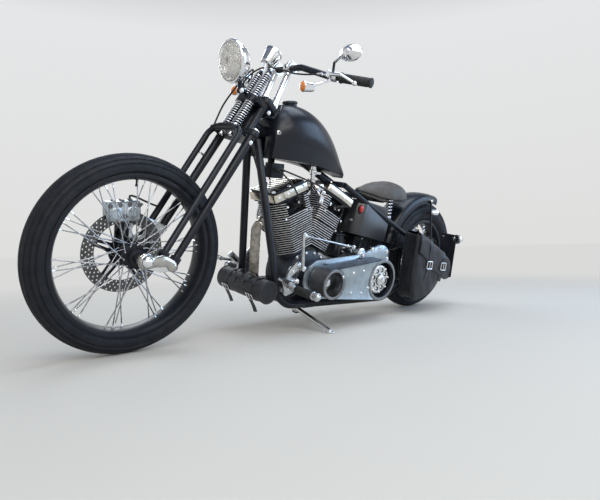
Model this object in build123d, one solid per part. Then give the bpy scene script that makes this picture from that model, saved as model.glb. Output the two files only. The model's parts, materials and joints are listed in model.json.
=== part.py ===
from build123d import *
import math
import os

# Chopper motorcycle with a springer fork, leaning on its side stand.
# Everything is drawn on an upright machine, in millimetres: X forward, Y to the rider's left, Z up,
# with the origin on the ground below the rear axle. The last step leans the machine onto its stand.

# Driving sizes of the whole machine
WHEELBASE = 1705.0
LEAN = 11.8
RAKE = 30.85
CRANK_X = 921.0
CRANK_Z = 246.0
CLUTCH_X = 597.0
CLUTCH_Z = 245.0
RUN = 0.3

# Wheels: the tyre's own radius, half width and crown, the rim and the hub
FRONT_TYRE_R = 345.7
FRONT_TYRE_HALF = 52.0
FRONT_BEAD_R = 273.0
FRONT_RIM_HALF = 40.0
FRONT_WELL_R = 259.0
FRONT_HUB_HALF = 58.0
FRONT_FLANGE_R = 44.0
REAR_TYRE_R = 305.0
REAR_TYRE_HALF = 66.0
REAR_BEAD_R = 190.5
REAR_RIM_HALF = 46.0
REAR_WELL_R = 176.0
REAR_HUB_HALF = 80.0
REAR_FLANGE_R = 52.0
SPOKE_R = 2.1
ROTOR_R = 146.0
SPOKES_A_SIDE = 20
SPOKE_CROSSING = 48.0
AXLE_R = 12.7
BEARING_GAP = 0.05
RIM_WALL = 4.0

# Springer fork: distances along the steering axis from the front axle, and ahead of the axle's line
STEER_T = -115.0
STEM_R = 12.7
NECK_R = 27.0
NECK_LOW_S = 612.0
NECK_TOP_S = 742.0
CROWN_THICK = 24.0
RISER_T = -145.0
CALIPER_R = 139.0
CALIPER_ANGLE = 84.0
CALIPER_LENGTH = 96.0
CALIPER_STAY_Y = 81.0
CALIPER_STAY_THICK = 6.0
RISER_Y = 42.0
CROWN_SWEEP_R = 77.0
RIGID_T = -96.0
NECK_CLEAR_T = -82.0
RIGID_Y = 103.0
RIGID_LOW_R = 13.0
RIGID_TOP_R = 18.0
UPRIGHT_Y = 60.0
SPRING_LEG_T = -47.0
SPRING_LEG_R = 12.0
YOKE_S = 588.0
ROCKER_PIVOT = (32.4, -96.3)
SPRING_LEG_PIVOT = (28.0, -47.0)
ROCKER_HALF = 9.0
CLEVIS_CHEEK = 6.0
CLEVIS_DEPTH = 26.0
PIVOT_R = 8.0
ROD_T = -54.0
ROD_Y = 30.0
LOWER_SPRING = (602.0, 714.0, 20.0)
UPPER_SPRING = (746.0, 852.0, 15.0)
SPRING_COILS = 8
ROD_R = 6.0

# Frame tubes
FRAME_TUBE_R = 16.0
BACKBONE_R = 19.0
STAY_R = 13.0
RAIL_Z = 118.0
RAIL_FRONT_Z = 144.0
RAIL_Y = 130.0
RAIL_FRONT_X = 1115.0
RAIL_KINK_X = 430.0
DOWN_TOP = (1240.0, 30.0, 800.0)
BEND_R = 90.0
STAY_FRONT = (760.0, 86.0, 658.0)
SEAT_POST_X = 662.0
SEAT_POST_R = 12.0
DROPOUT_Y = RAIL_Y - 6.0
ENGINE_BED_Z = 129.0
DROPOUT_THICK = 10.0

# Engine, gearbox and open belt drive
V_ANGLE = 22.5
PUSHROD_Y = -109.0
PUSHROD_SPREAD = 18.0
TAPPET_IN = 8.0
TAPPET_TOP = 104.0
CYLINDER_GAP = 1.0
DECK = 128.0
BARREL_R = 50.0
BARREL_TOP = 240.0
HEAD_TOP = 366.0
ROCKER_SEAT = 376.0
ROCKER_BAND = 408.0
ROCKER_TOP = 418.0
FIN_PITCH = 10.0
FIN_THICK = 2.6
FIN_HALF_X = 92.0
FIN_HALF_Y = 81.0
HEAD_HALF_Y = 88.0
OUTER_CORNER = 45.0
INNER_CORNER = 12.0
PLATE_Y = 141.0
PLATE_THICK = 10.0
SHOULDER_RISE = 7.0
BELT_Y0 = 162.0
BELT_Y1 = 238.0
STARTER_AT = (642.0, 350.0)
STARTER_R = 26.0
GUARD_GAP = 2.0
GUARD_THICK = 5.0
RING_LIP = 8.0
BELT_THICK = 6.0
PIPE_R = 22.0
FRONT_PULLEY_R = 63.0
CLUTCH_R = 94.0
FINAL_Y = 90.0
CHAIN_HALF = 8.0
SPROCKET_HALF = 3.5
FINAL_SPROCKET_R = 46.0
FINAL_WHEEL_R = 98.0
CHAIN_GAP = 1.0
CHAIN_DEPTH = 13.0

# The spark plug's room in a head: X from and to, its floor, and how deep it goes
PLUG_ROOM = (-56.0, 46.0, 300.0, 62.0)
# Bosses in that room: X, Y of the end, height, radius
PLUG_BOSSES = ((-34, 76, 334, 9), (-2, 82, 330, 12), (30, 74, 336, 8))
# Posts of the belt's guard plate: share of the way from crank to clutch, height over that line
GUARD_POSTS = ((0.34, 44), (0.34, -44), (0.56, 50), (0.56, -50))

# Bodywork
FENDER_X = 25.0
FENDER_R = 352.0
FENDER_WALL = 3.0
FENDER_HALF = 78.0
FENDER_SKIRT_R = 300.0
FENDER_FROM = 14.0
FENDER_TO = 116.0
OIL_TANK_HALF = 108.0
OIL_TANK_FRONT = 668.0
OIL_TANK_BACK = 436.0
OIL_TANK_LOW = 438.0
OIL_TANK_HEIGHT = 164.0
OIL_TANK_CORNER = 50.0
OIL_TANK_HOLLOW = 60.0
OIL_TANK_TILT = 9.5
PLATE_X = -122.0
PLATE_WIDE = 92.0
PLATE_HIGH = 240.0
BAG_THICK = 94.0
BAG_CORNER = 15.0
ROLL_R = 49.0
ROLL_X = 1184.0
ROLL_Z = 206.0
COIL_BOX_X = 1138.0
COIL_BOX_DROP = 126.0
SEAT_SPRING_X = 412.0
SEAT_SPRING_Y = 90.0
SEAT_SPRING_R = 18.0
SEAT_SPRING_TOP = 640.0
SEAT_NOSE = (540.0, 0.0, 634.0)

# Lofted forms as sections across the machine: X, half width, height of the flat underside,
# height of the widest level, height of the crown
TANK_SECTIONS = (
    (1188, 78, 735, 790, 884),
    (1150, 98, 735, 806, 938),
    (1080, 113, 734, 806, 964),
    (1000, 115, 732, 798, 958),
    (900, 101, 720, 776, 912),
    (800, 72, 706, 742, 820),
    (716, 34, 688, 704, 732))
SEAT_SECTIONS = (
    (568, 14, 630, 640, 653),
    (520, 42, 616, 630, 664),
    (460, 76, 600, 616, 684),
    (400, 103, 594, 610, 698),
    (340, 114, 594, 611, 704),
    (288, 104, 600, 617, 694),
    (250, 74, 612, 628, 672))

# Rider's controls: places as the distance along the steering axis, the distance ahead of it, and Y
BAR_R = 12.7
GRIP_R = 17.0
BAR_ROUTE = ((944.5, -113, 0), (945, -117, 110), (927, -153.5, 235), (933, -210.5, 408))
GRIP_LENGTH = 125.0
PERCH_BACK = 31.0
PERCH_HALF = 18.0
HEADLIGHT_R = 80.0
HEADLIGHT_AT = (785.5, 95.0)
HEADLIGHT_BACK = (839.0, 33.0)
MIRROR_R = 47.0
MIRROR_FLAT = 0.66
MIRROR_AT = (981.6, -104.4, 350.0)

PEG_AT = (1078.0, 222.0)
PEG_OUT = 300.0
PEG_R = 14.0
PEDAL_AT = (1104.0, 262.0)
SHIFT_TOP = (1064.0, 443.0)
SHIFT_END = (727.0, 385.0)

# Side stand: its pivot and its foot on the upright machine's left side
STAND_PIVOT = (945.0, 60.0, 98.0)
STAND_FOOT_X = 972.0
STAND_FOOT_Y = 298.0
STAND_R = 9.0
FOOT_R = 22.0

lean = math.radians(LEAN)
rake = math.radians(RAKE)


def axle_height(radius, crown):
    """Height of an axle on the upright machine that lets the leaned tyre just touch the ground."""
    return radius - crown + crown / math.cos(lean)


FRONT_AXLE = Vector(WHEELBASE, 0, axle_height(FRONT_TYRE_R, FRONT_TYRE_HALF))
REAR_AXLE = Vector(0, 0, axle_height(REAR_TYRE_R, REAR_TYRE_HALF))


def fork_point(s, t, y=0.0):
    """A point s along the steering axis above the front axle and t ahead of it."""
    x = FRONT_AXLE.X - s * math.sin(rake) + t * math.cos(rake)
    z = FRONT_AXLE.Z + s * math.cos(rake) + t * math.sin(rake)
    return Vector(x, y, z)


FORK_UP = Vector(-math.sin(rake), 0, math.cos(rake))


def fork_plane(s, t, y=0.0):
    """A plane across the steering axis: its X points forward, its Y to the left."""
    return Plane(origin=fork_point(s, t, y), x_dir=(math.cos(rake), 0, math.sin(rake)), z_dir=FORK_UP)


def bend_radii(points, most=60.0):
    """A bend radius for each inner point of a route, as large as its two runs allow."""
    radii = []
    for a, b, c in zip(points, points[1:], points[2:]):
        first = Vector(*b) - Vector(*a)
        second = Vector(*c) - Vector(*b)
        half_turn = math.radians(first.get_angle(second)) / 2
        radii.append(min(most, 0.42 * min(first.length, second.length) / math.tan(half_turn)))
    return radii


def rod(start, end, radius, end_radius=None):
    """A round bar between two points, tapered when it has a second radius."""
    a = Vector(*start)
    b = Vector(*end)
    plane = Plane(origin=a, z_dir=b - a)
    height = (b - a).length
    low = (Align.CENTER, Align.CENTER, Align.MIN)
    if end_radius is None or end_radius == radius:
        return plane * Cylinder(radius, height, align=low)
    return plane * Cone(radius, end_radius, height, align=low)


def pipe(points, radius, bends):
    """A round tube along straight runs joined by arcs."""
    path = FilletPolyline(*[tuple(p) for p in points], radius=bends)
    start = Plane(origin=path @ 0, z_dir=path % 0)
    section = start * Circle(radius)
    return sweep(section, path=path)


def across(x, z, radius, y0, y1, top_radius=None):
    """A round boss whose axis lies across the machine."""
    return rod((x, y0, z), (x, y1, z), radius, top_radius)


def lathe(outline, x, z):
    """A turned piece about an axis across the machine, from points of radius and Y."""
    face = make_face(Polyline(*outline, close=True))
    return Pos(x, 0, z) * revolve(face, Axis.Y, 360)


def plate(outline, y0, y1, round_r=0.0):
    """A flat plate along the machine, from points of X and Z, between two values of Y."""
    flat = make_face(Polyline(*outline, close=True))
    if round_r:
        flat = fillet(flat.vertices(), round_r)
    side = Plane(origin=(0, y0, 0), x_dir=(1, 0, 0), z_dir=(0, -1, 0))
    return extrude(side * flat, -(y1 - y0))


def mirrored(shape):
    return mirror(shape, Plane.XZ)


def both(shape):
    """A shape and its mirror image on the other side of the machine."""
    return solids_of(shape) + solids_of(mirrored(shape))


def solids_of(*shapes):
    found = []
    for shape in shapes:
        if isinstance(shape, (list, tuple)):
            found += solids_of(*shape)
        else:
            found += list(shape.solids())
    return found


def cut(shape, *others):
    """A shape without what its neighbours already fill."""
    result = []
    tools = solids_of(*others)
    for piece in solids_of(shape):
        box = piece.bounding_box()
        near = [t for t in tools if boxes_meet(box, t.bounding_box())]
        left = piece - near if near else piece
        result += solids_of(left)
    return result


def boxes_meet(a, b):
    return all(lo <= hi for lo, hi in (
        (a.min.X, b.max.X), (b.min.X, a.max.X), (a.min.Y, b.max.Y),
        (b.min.Y, a.max.Y), (a.min.Z, b.max.Z), (b.min.Z, a.max.Z)))


def fused(*shapes):
    pieces = solids_of(*shapes)
    return pieces[0].fuse(*pieces[1:]).clean() if len(pieces) > 1 else pieces[0]


# Wheels

def tyre(radius, half, bead_r, rim_half, x, z):
    """A tyre as one ring: round crown, bulged walls and beads between the rim's flanges."""
    seat_half = rim_half - RUN
    flange = bead_r + 9
    wall_r = radius - half
    crown = ThreePointArc((wall_r, half), (radius, 0), (wall_r, -half))
    right = ThreePointArc((wall_r, -half), (wall_r - (wall_r - flange) * 0.55, -half * 0.97), (flange, -seat_half))
    left = ThreePointArc((flange, seat_half), (wall_r - (wall_r - flange) * 0.55, half * 0.97), (wall_r, half))
    bed = Polyline((flange, -seat_half), (bead_r, -seat_half), (bead_r, seat_half), (flange, seat_half))
    face = make_face(Curve() + [crown, right, bed, left])
    return Pos(x, 0, z) * revolve(face, Axis.Y, 360)


def rim(bead_r, half, well_r, x, z):
    """A dropped rim with a flange at each side."""
    outline = [(well_r, -half * 0.55), (well_r, half * 0.55), (bead_r - RIM_WALL, half + RIM_WALL),
               (bead_r + 9, half + RIM_WALL), (bead_r + 9, half), (bead_r, half),
               (bead_r, half - 12), (well_r + RIM_WALL, half * 0.5), (well_r + RIM_WALL, -half * 0.5),
               (bead_r, 12 - half), (bead_r, -half), (bead_r + 9, -half),
               (bead_r + 9, -half - RIM_WALL), (bead_r - RIM_WALL, -half - RIM_WALL)]
    return lathe(outline, x, z)


def hub(half, flange_r, flange_y, x, z):
    """A hub barrel with two spoke flanges, bored for its axle."""
    bore = AXLE_R + BEARING_GAP
    barrel = flange_r * 0.62
    outline = [(bore, -half), (barrel, -half), (barrel, -flange_y - 4), (flange_r, -flange_y - 4),
               (flange_r, 4 - flange_y), (flange_r - 11, 4 - flange_y), (barrel * 0.9, 14 - flange_y),
               (barrel * 0.9, flange_y - 14), (flange_r - 11, flange_y - 4),
               (flange_r, flange_y - 4), (flange_r, flange_y + 4), (barrel, flange_y + 4),
               (barrel, half), (bore, half)]
    return lathe(outline, x, z)


def spokes(flange_r, flange_y, well_r, rim_y, x, z):
    """Crossed spokes from the two hub flanges to the rim's well."""
    step = 360 / SPOKES_A_SIDE
    lean_in = (flange_y - rim_y) / (well_r - flange_r) * 9.5
    made = []
    for side in (-1, 1):
        for n in range(SPOKES_A_SIDE):
            leading = 1 if n % 2 else -1
            at_hub = math.radians(n * step + (step / 4) * side)
            at_rim = at_hub + leading * math.radians(SPOKE_CROSSING)
            hub_y = side * (flange_y + leading * (4 + SPOKE_R + RUN) + (lean_in if leading > 0 else 0))
            low = (x + (flange_r - 5) * math.cos(at_hub), hub_y, z + (flange_r - 5) * math.sin(at_hub))
            high_r = well_r - 2 * RUN
            high = (x + high_r * math.cos(at_rim), side * rim_y, z + high_r * math.sin(at_rim))
            made.append(rod(low, high, SPOKE_R))
    return made


def rotor(radius, y, x, z, inner_r):
    """A brake disc with a ring of holes on a star-shaped carrier."""
    disc = across(x, z, radius, y - 2.5, y + 2.5) - across(x, z, radius - 44, y - 3, y + 3)
    for n in range(20):
        a = math.radians(n * 18)
        r = radius - 14 - (n % 2) * 16
        disc -= across(x + r * math.cos(a), z + r * math.sin(a), 4.5, y - 4, y + 4)
    carrier = across(x, z, 52, y - 4, y + 4)
    for n in range(5):
        a = math.radians(n * 72 + 18)
        arm = Pos(x, 0, z) * Rot(0, -math.degrees(a), 0) * Pos(radius / 2 - 8, y, 0) * Box(radius - 10, 6, 22)
        carrier = carrier + arm
    carrier = carrier - across(x, z, inner_r, y - 8, y + 8)
    return fused(disc, carrier & across(x, z, radius - 36, y - 4, y + 4))


# Springer fork

def fork_rigid():
    """Rigid rear legs, both crowns, the uprights between them and the steering stem."""
    legs = []
    low_crown = fork_crown(NECK_LOW_S - RUN - CROWN_THICK)
    top_crown = fork_crown(NECK_TOP_S + RUN)
    for side in (-1, 1):
        foot = fork_point(ROCKER_PIVOT[0] + CLEVIS_DEPTH, ROCKER_PIVOT[1], side * RIGID_Y)
        top = fork_point(NECK_LOW_S - RUN - 1, RIGID_T, side * (RIGID_Y - 3))
        legs.append(rod(foot, top, RIGID_LOW_R, RIGID_TOP_R))
        legs.append(clevis(ROCKER_PIVOT, side))
        up_low = fork_point(NECK_LOW_S - CROWN_THICK / 2, RIGID_T, side * UPRIGHT_Y)
        up_top = fork_point(NECK_TOP_S + CROWN_THICK / 2, RIGID_T, side * UPRIGHT_Y)
        legs.append(rod(up_low, up_top, 15))
    stem = rod(fork_point(NECK_LOW_S - CROWN_THICK / 2, STEER_T),
               fork_point(NECK_TOP_S + CROWN_THICK + 12, STEER_T), STEM_R)
    perch = fork_plane(LOWER_SPRING[1] + RUN, ROD_T) * extrude(RectangleRounded(44, 104, 18), 30)
    bridge_t = (NECK_CLEAR_T + ROD_T) / 2
    bridge = [fork_plane(NECK_TOP_S - 24, bridge_t) * extrude(Rectangle(ROD_T - NECK_CLEAR_T, 2 * UPRIGHT_Y + 28), 22)]
    for side in (-1, 1):
        cheek = Rectangle(ROD_T - RIGID_T, 28)
        bridge.append(fork_plane(NECK_TOP_S - 24, (RIGID_T + ROD_T) / 2, side * UPRIGHT_Y) * extrude(cheek, 22))
    body = fused(low_crown, top_crown, legs, stem, perch, bridge)
    for side in (-1, 1):
        rod_hole = rod(fork_point(LOWER_SPRING[1] - 40, ROD_T, side * ROD_Y),
                       fork_point(UPPER_SPRING[0] + 40, ROD_T, side * ROD_Y), ROD_R + RUN)
        body = body - rod_hole
    return body


def clevis(pivot, side):
    """A forked leg end round the rocker, bored for its pin."""
    at = fork_point(*pivot)
    half = ROCKER_HALF + CLEVIS_CHEEK
    y = side * RIGID_Y
    eye = across(at.X, at.Z, 15, y - half, y + half)
    neck = fork_plane(pivot[0], pivot[1], y) * Pos(0, 0, CLEVIS_DEPTH / 2 + 5) * Box(26, 2 * half, CLEVIS_DEPTH + 10)
    slot = fork_plane(pivot[0], pivot[1], y) * Box(80, 2 * (ROCKER_HALF + RUN), 2 * CLEVIS_DEPTH - 8)
    return fused(eye, neck) - slot - across(at.X, at.Z, PIVOT_R + BEARING_GAP, y - 40, y + 40)


def fork_crown(s):
    """One of the two plates that hold the legs round the steering head."""
    back = STEER_T - 34 - RIGID_T
    sketch = make_hull([*Circle(RIGID_TOP_R + 1).moved(Location((0, RIGID_Y))).edges(),
                        *Circle(RIGID_TOP_R + 1).moved(Location((0, -RIGID_Y))).edges(),
                        *Circle(20).moved(Location((back + 18, 0))).edges()])
    if s > NECK_LOW_S:
        sketch = make_hull([*Circle(20).moved(Location((0, UPRIGHT_Y))).edges(),
                            *Circle(20).moved(Location((0, -UPRIGHT_Y))).edges(),
                            *Circle(20).moved(Location((RISER_T - RIGID_T, RISER_Y))).edges(),
                            *Circle(20).moved(Location((RISER_T - RIGID_T, -RISER_Y))).edges()])
    return fork_plane(s, RIGID_T) * extrude(sketch, CROWN_THICK)


def fork_spring_legs():
    """The thin front legs, bent over at the top into one yoke below the springs."""
    low = fork_point(SPRING_LEG_PIVOT[0] + CLEVIS_DEPTH, SPRING_LEG_PIVOT[1])
    corner = fork_point(YOKE_S, SPRING_LEG_T + 4)
    points = [(low.X, -RIGID_Y, low.Z), (corner.X, -RIGID_Y, corner.Z),
              (corner.X, RIGID_Y, corner.Z), (low.X, RIGID_Y, low.Z)]
    legs = pipe(points, SPRING_LEG_R, 42)
    parts = [legs]
    for side in (-1, 1):
        parts.append(clevis(SPRING_LEG_PIVOT, side))
        seat_low = fork_point(YOKE_S, ROD_T, side * ROD_Y)
        seat_top = fork_point(LOWER_SPRING[0] - RUN, ROD_T, side * ROD_Y)
        parts.append(rod(seat_low, seat_top, 15))
        parts.append(rod(seat_top, fork_point(UPPER_SPRING[1] + 26, ROD_T, side * ROD_Y), ROD_R))
        cap = fork_point(UPPER_SPRING[1] + RUN, ROD_T, side * ROD_Y)
        parts.append(rod(cap, fork_point(UPPER_SPRING[1] + 16, ROD_T, side * ROD_Y), 16, 10))
    return fused(parts)


def coil_spring(s0, s1, radius, y):
    """A spring as a grooved sleeve round its rod, one groove for each turn."""
    pitch = (s1 - s0) / SPRING_COILS
    outline = [(ROD_R + RUN, 0)]
    for n in range(SPRING_COILS):
        outline += [(radius - 4, n * pitch), (radius, (n + 0.35) * pitch), (radius, (n + 0.65) * pitch)]
    outline += [(radius - 4, s1 - s0), (ROD_R + RUN, s1 - s0)]
    face = make_face(Polyline(*outline, close=True))
    body = Rot(90, 0, 0) * revolve(face, Axis.Y, 360)
    return fork_plane(s0, ROD_T, y) * body


def fork_springs():
    made = []
    for s0, s1, radius in (LOWER_SPRING, UPPER_SPRING):
        for y in (-ROD_Y, ROD_Y):
            made += solids_of(coil_spring(s0 + RUN, s1 - RUN, radius, y))
    return made


def rockers():
    """Both polished rockers with their pivot pins, and the axle and its spacers between them."""
    pivot = fork_point(*ROCKER_PIVOT)
    link = fork_point(*SPRING_LEG_PIVOT)
    made = []
    face_plane = Plane(origin=(0, 0, 0), x_dir=(1, 0, 0), z_dir=(0, -1, 0))
    sag = fork_point(ROCKER_PIVOT[0] - 26, -62)
    outline = make_hull([*Circle(17).moved(Location((pivot.X, pivot.Z))).edges(),
                         *Circle(14).moved(Location((sag.X, sag.Z))).edges(),
                         *Circle(22).moved(Location((FRONT_AXLE.X, FRONT_AXLE.Z))).edges()])
    arm = face_plane * outline
    ends = ((1, FRONT_HUB_HALF), (-1, FRONT_HUB_HALF + 8))
    for side, hub_end in ends:
        y = side * RIGID_Y
        made.append(Pos(0, y - ROCKER_HALF, 0) * extrude(arm, -2 * ROCKER_HALF))
        made.append(across(FRONT_AXLE.X, FRONT_AXLE.Z, 19, side * (hub_end + RUN), y))
        made.append(across(FRONT_AXLE.X, FRONT_AXLE.Z, 25, y, y + side * (ROCKER_HALF + 12), 21))
        dome = Pos(FRONT_AXLE.X, y + side * (ROCKER_HALF + 12), FRONT_AXLE.Z) * Sphere(21)
        room = Pos(FRONT_AXLE.X, y + side * (ROCKER_HALF + 22), FRONT_AXLE.Z) * Box(60, 20, 60)
        made.append(dome & room)
        for point in (pivot, link):
            half = ROCKER_HALF + CLEVIS_CHEEK + 3
            made.append(across(point.X, point.Z, PIVOT_R, y - half, y + half))
    made.append(across(FRONT_AXLE.X, FRONT_AXLE.Z, AXLE_R, -RIGID_Y, RIGID_Y))
    return fused(made)


def headlight():
    """A bullet-backed lamp on a bracket from the spring perch."""
    front = fork_point(*HEADLIGHT_AT)
    back = fork_point(*HEADLIGHT_BACK)
    length = (front - back).length
    r = HEADLIGHT_R
    outline = Curve() + [
        Line((0, 0), (0, length + 8)),
        ThreePointArc((0, length + 8), (r * 0.6, length + 3), (r - 6, length - 4)),
        Polyline((r - 6, length - 4), (r, length - 4), (r, length - 20), (r - 5, length - 22)),
        ThreePointArc((r - 5, length - 22), (r * 0.7, 28), (0, 0))]
    shell = Plane(origin=back, z_dir=front - back) * (Rot(90, 0, 0) * revolve(make_face(outline), Axis.Y, 360))
    foot = fork_point(NECK_TOP_S + 6, ROD_T + 24)
    knee = fork_point(734.8, -7.2)
    bracket = [rod(foot, knee, 10), rod(knee, fork_point(776, 28), 9)]
    return fused(shell, bracket)


def handlebar():
    half = [fork_point(*p) for p in BAR_ROUTE]
    points = [(p.X, -p.Y, p.Z) for p in reversed(half[1:])] + [(p.X, p.Y, p.Z) for p in half[1:]]
    return pipe(points, BAR_R, 60)


def bar_point(back_from_end):
    a = fork_point(*BAR_ROUTE[-2])
    b = fork_point(*BAR_ROUTE[-1])
    return b + (a - b).normalized() * back_from_end


def grips():
    inner = bar_point(GRIP_LENGTH)
    outer = bar_point(-4)
    grip = rod(inner, outer, GRIP_R) - rod(inner, bar_point(0), BAR_R)
    return both(grip)


def risers():
    """Two dog-bone risers with their clamps round the bar."""
    made = []
    for side in (-1, 1):
        foot = fork_point(NECK_TOP_S + RUN + CROWN_THICK, RISER_T, side * RISER_Y)
        top = fork_point(BAR_ROUTE[1][0], BAR_ROUTE[1][1], side * RISER_Y)
        bone = [rod(foot, foot + (top - foot) * 0.25, 20, 13), rod(foot + (top - foot) * 0.2, top, 13),
                across(top.X, top.Z, 24, side * RISER_Y - 17, side * RISER_Y + 17)]
        made.append(fused(bone))
    return cut(made, handlebar())


def gauge():
    """A small round gauge in a chrome cup, held ahead of the bar's middle."""
    top = fork_point(959.8, -40.6)
    low = fork_point(897.7, -38)
    cup = rod(low, top, 24, 36)
    foot = fork_point(NECK_TOP_S + RUN + CROWN_THICK, STEER_T + 16)
    return fused(cup, rod(foot, low + (top - low) * 0.1, 8))


def hand_levers():
    """Lever perches, ball-ended levers and the indicator lamps below them."""
    perch_mid = bar_point(GRIP_LENGTH + PERCH_BACK)
    a = bar_point(GRIP_LENGTH + PERCH_BACK - PERCH_HALF)
    b = bar_point(GRIP_LENGTH + PERCH_BACK + PERCH_HALF)
    clamp = rod(a, b, 19)
    bar_room = rod(bar_point(GRIP_LENGTH), bar_point(GRIP_LENGTH + 2 * PERCH_BACK), BAR_R + 0.1)
    pivot = perch_mid + Vector(34, 6, 4)
    body = fused(clamp, rod(perch_mid + Vector(16, 0, 2), pivot, 11))
    knee = pivot + Vector(-6, 60, -8)
    tip = fork_point(900.3, -175.1, 372)
    blade = fused(rod(pivot, knee, 8, 6), rod(knee, tip, 6, 5), Pos(tip) * Sphere(9))
    lamp = rod(fork_point(825.9, -97.2, 216), fork_point(849.8, -129.5, 226), 20, 17)
    stalk = rod(perch_mid + Vector(8, -6, -14), fork_point(842.7, -117.5, 222), 5)
    made = fused(body, blade, lamp, stalk) - bar_room
    return both(made)


def mirrors():
    """Round mirrors, each on a bent stem from its lever perch."""
    head = fork_point(*MIRROR_AT)
    perch = bar_point(GRIP_LENGTH + PERCH_BACK)
    foot = perch + Vector(6, 0, 20)
    back = Vector(1, 0.12, 0.1).normalized()
    glass = Plane(origin=head, x_dir=(-back.Y, back.X, 0), z_dir=back)
    rim_face = glass * Ellipse(MIRROR_R, MIRROR_R * MIRROR_FLAT)
    back_face = Plane(origin=head + back * 20, x_dir=glass.x_dir, z_dir=back) * Ellipse(22, 15)
    bowl = extrude(rim_face, -7) + loft([rim_face.face(), back_face.face()])
    stem = pipe([tuple(foot), tuple(foot + Vector(14, 14, 26)), tuple(head + back * 18)], 5, 12)
    knob = rod(head + back * 12, head + back * 26, 9)
    return both(fused(bowl, stem, knob))


def front_caliper():
    """A four-piston caliper over the disc, held by a plate from the axle and the right rigid leg."""
    y = -FRONT_HUB_HALF - 4
    turn = Pos(FRONT_AXLE.X, 0, FRONT_AXLE.Z) * Rot(0, -CALIPER_ANGLE, 0)
    block = turn * Pos(CALIPER_R, y, 0) * fillet(Box(60, 46, CALIPER_LENGTH).edges().filter_by(Axis.Y), 13)
    ribs = [turn * Pos(CALIPER_R, y + 24, z) * Box(60, 6, 7) for z in (-CALIPER_LENGTH / 4, 0, CALIPER_LENGTH / 4)]
    slot = across(FRONT_AXLE.X, FRONT_AXLE.Z, ROTOR_R + 4, y - 4.5, y + 4.5)
    well = across(FRONT_AXLE.X, FRONT_AXLE.Z, FRONT_FLANGE_R + 46, y + 4.5, y + 60)
    leg_end = fork_point(ROTOR_R + 4, RIGID_T)
    low, high = -CALIPER_STAY_Y - CALIPER_STAY_THICK / 2, -CALIPER_STAY_Y + CALIPER_STAY_THICK / 2
    ring = make_hull([*Circle(27).moved(Location((FRONT_AXLE.X, FRONT_AXLE.Z))).edges(),
                      *Circle(13).moved(Location((leg_end.X, leg_end.Z))).edges(),
                      *Circle(20).moved(Location((FRONT_AXLE.X + 12, FRONT_AXLE.Z + CALIPER_R))).edges()])
    stay = extrude(Plane(origin=(0, high, 0), x_dir=(1, 0, 0), z_dir=(0, -1, 0)) * ring, high - low)
    window = across((FRONT_AXLE.X + leg_end.X) / 2 + 20, FRONT_AXLE.Z + 74, 24, low - 1, high + 1)
    bore = across(FRONT_AXLE.X, FRONT_AXLE.Z, 19 + RUN, low - 1, high + 1)
    tab = across(leg_end.X, leg_end.Z, 11, -RIGID_Y, low)
    return fused(cut(block, slot, well), cut(ribs, slot), cut(stay, bore, window), tab)


# Frame

def neck_and_backbone():
    head = rod(fork_point(NECK_LOW_S, STEER_T), fork_point(NECK_TOP_S, STEER_T), NECK_R)
    start = fork_point(NECK_LOW_S + 60, STEER_T)
    end = Vector(STAY_FRONT[0], 0, STAY_FRONT[2])
    spine = rod(start, end, BACKBONE_R)
    cross = rod((STAY_FRONT[0], -STAY_FRONT[1], STAY_FRONT[2]), STAY_FRONT, STAY_R)
    body = fused(head, spine, cross)
    return body - rod(fork_point(NECK_LOW_S - 5, STEER_T), fork_point(NECK_TOP_S + 5, STEER_T), STEM_R + BEARING_GAP)


def rail_height(x):
    """Height of a lower rail's centre, which rises from its kink to its front bend."""
    return RAIL_Z + (RAIL_FRONT_Z - RAIL_Z) * (x - RAIL_KINK_X) / (RAIL_FRONT_X - RAIL_KINK_X)


def down_tube():
    """A front down tube with the bend that carries it into the lower rail."""
    apex = (RAIL_FRONT_X, RAIL_Y, RAIL_FRONT_Z)
    end = (RAIL_FRONT_X - 140, RAIL_Y, rail_height(RAIL_FRONT_X - 140))
    return pipe([DOWN_TOP, apex, end], FRAME_TUBE_R, BEND_R)


def lower_rail():
    """A lower rail that rises behind the gearbox to its axle plate."""
    start = (RAIL_FRONT_X - 140, RAIL_Y, rail_height(RAIL_FRONT_X - 140))
    kink = (RAIL_KINK_X, RAIL_Y, RAIL_Z)
    end = (REAR_AXLE.X + 30, DROPOUT_Y + 5, REAR_AXLE.Z - 20)
    tube = pipe([start, kink, end], FRAME_TUBE_R, 120)
    outline = [(-46, REAR_AXLE.Z - 20), (-40, REAR_AXLE.Z + 26), (52, REAR_AXLE.Z + 44), (66, REAR_AXLE.Z - 44),
               (20, REAR_AXLE.Z - 48)]
    dropout = plate(outline, DROPOUT_Y, DROPOUT_Y + DROPOUT_THICK, 8)
    return fused(tube, dropout) - across(0, REAR_AXLE.Z, AXLE_R, DROPOUT_Y - 30, DROPOUT_Y + 40)


def upper_stay():
    end = (REAR_AXLE.X + 18, DROPOUT_Y + 6, REAR_AXLE.Z + 14)
    return rod(STAY_FRONT, end, STAY_R)


def rail_cross_members():
    """The plate below the engine and the tube below the gearbox, from rail to rail."""
    bed = Pos(CRANK_X + 4, 0, ENGINE_BED_Z - 5 - RUN) * Box(92, 2 * RAIL_Y, 10)
    x = RAIL_KINK_X + 60
    rear = rod((x, -RAIL_Y, rail_height(x)), (x, RAIL_Y, rail_height(x)), 12)
    return [bed, rear]


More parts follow.
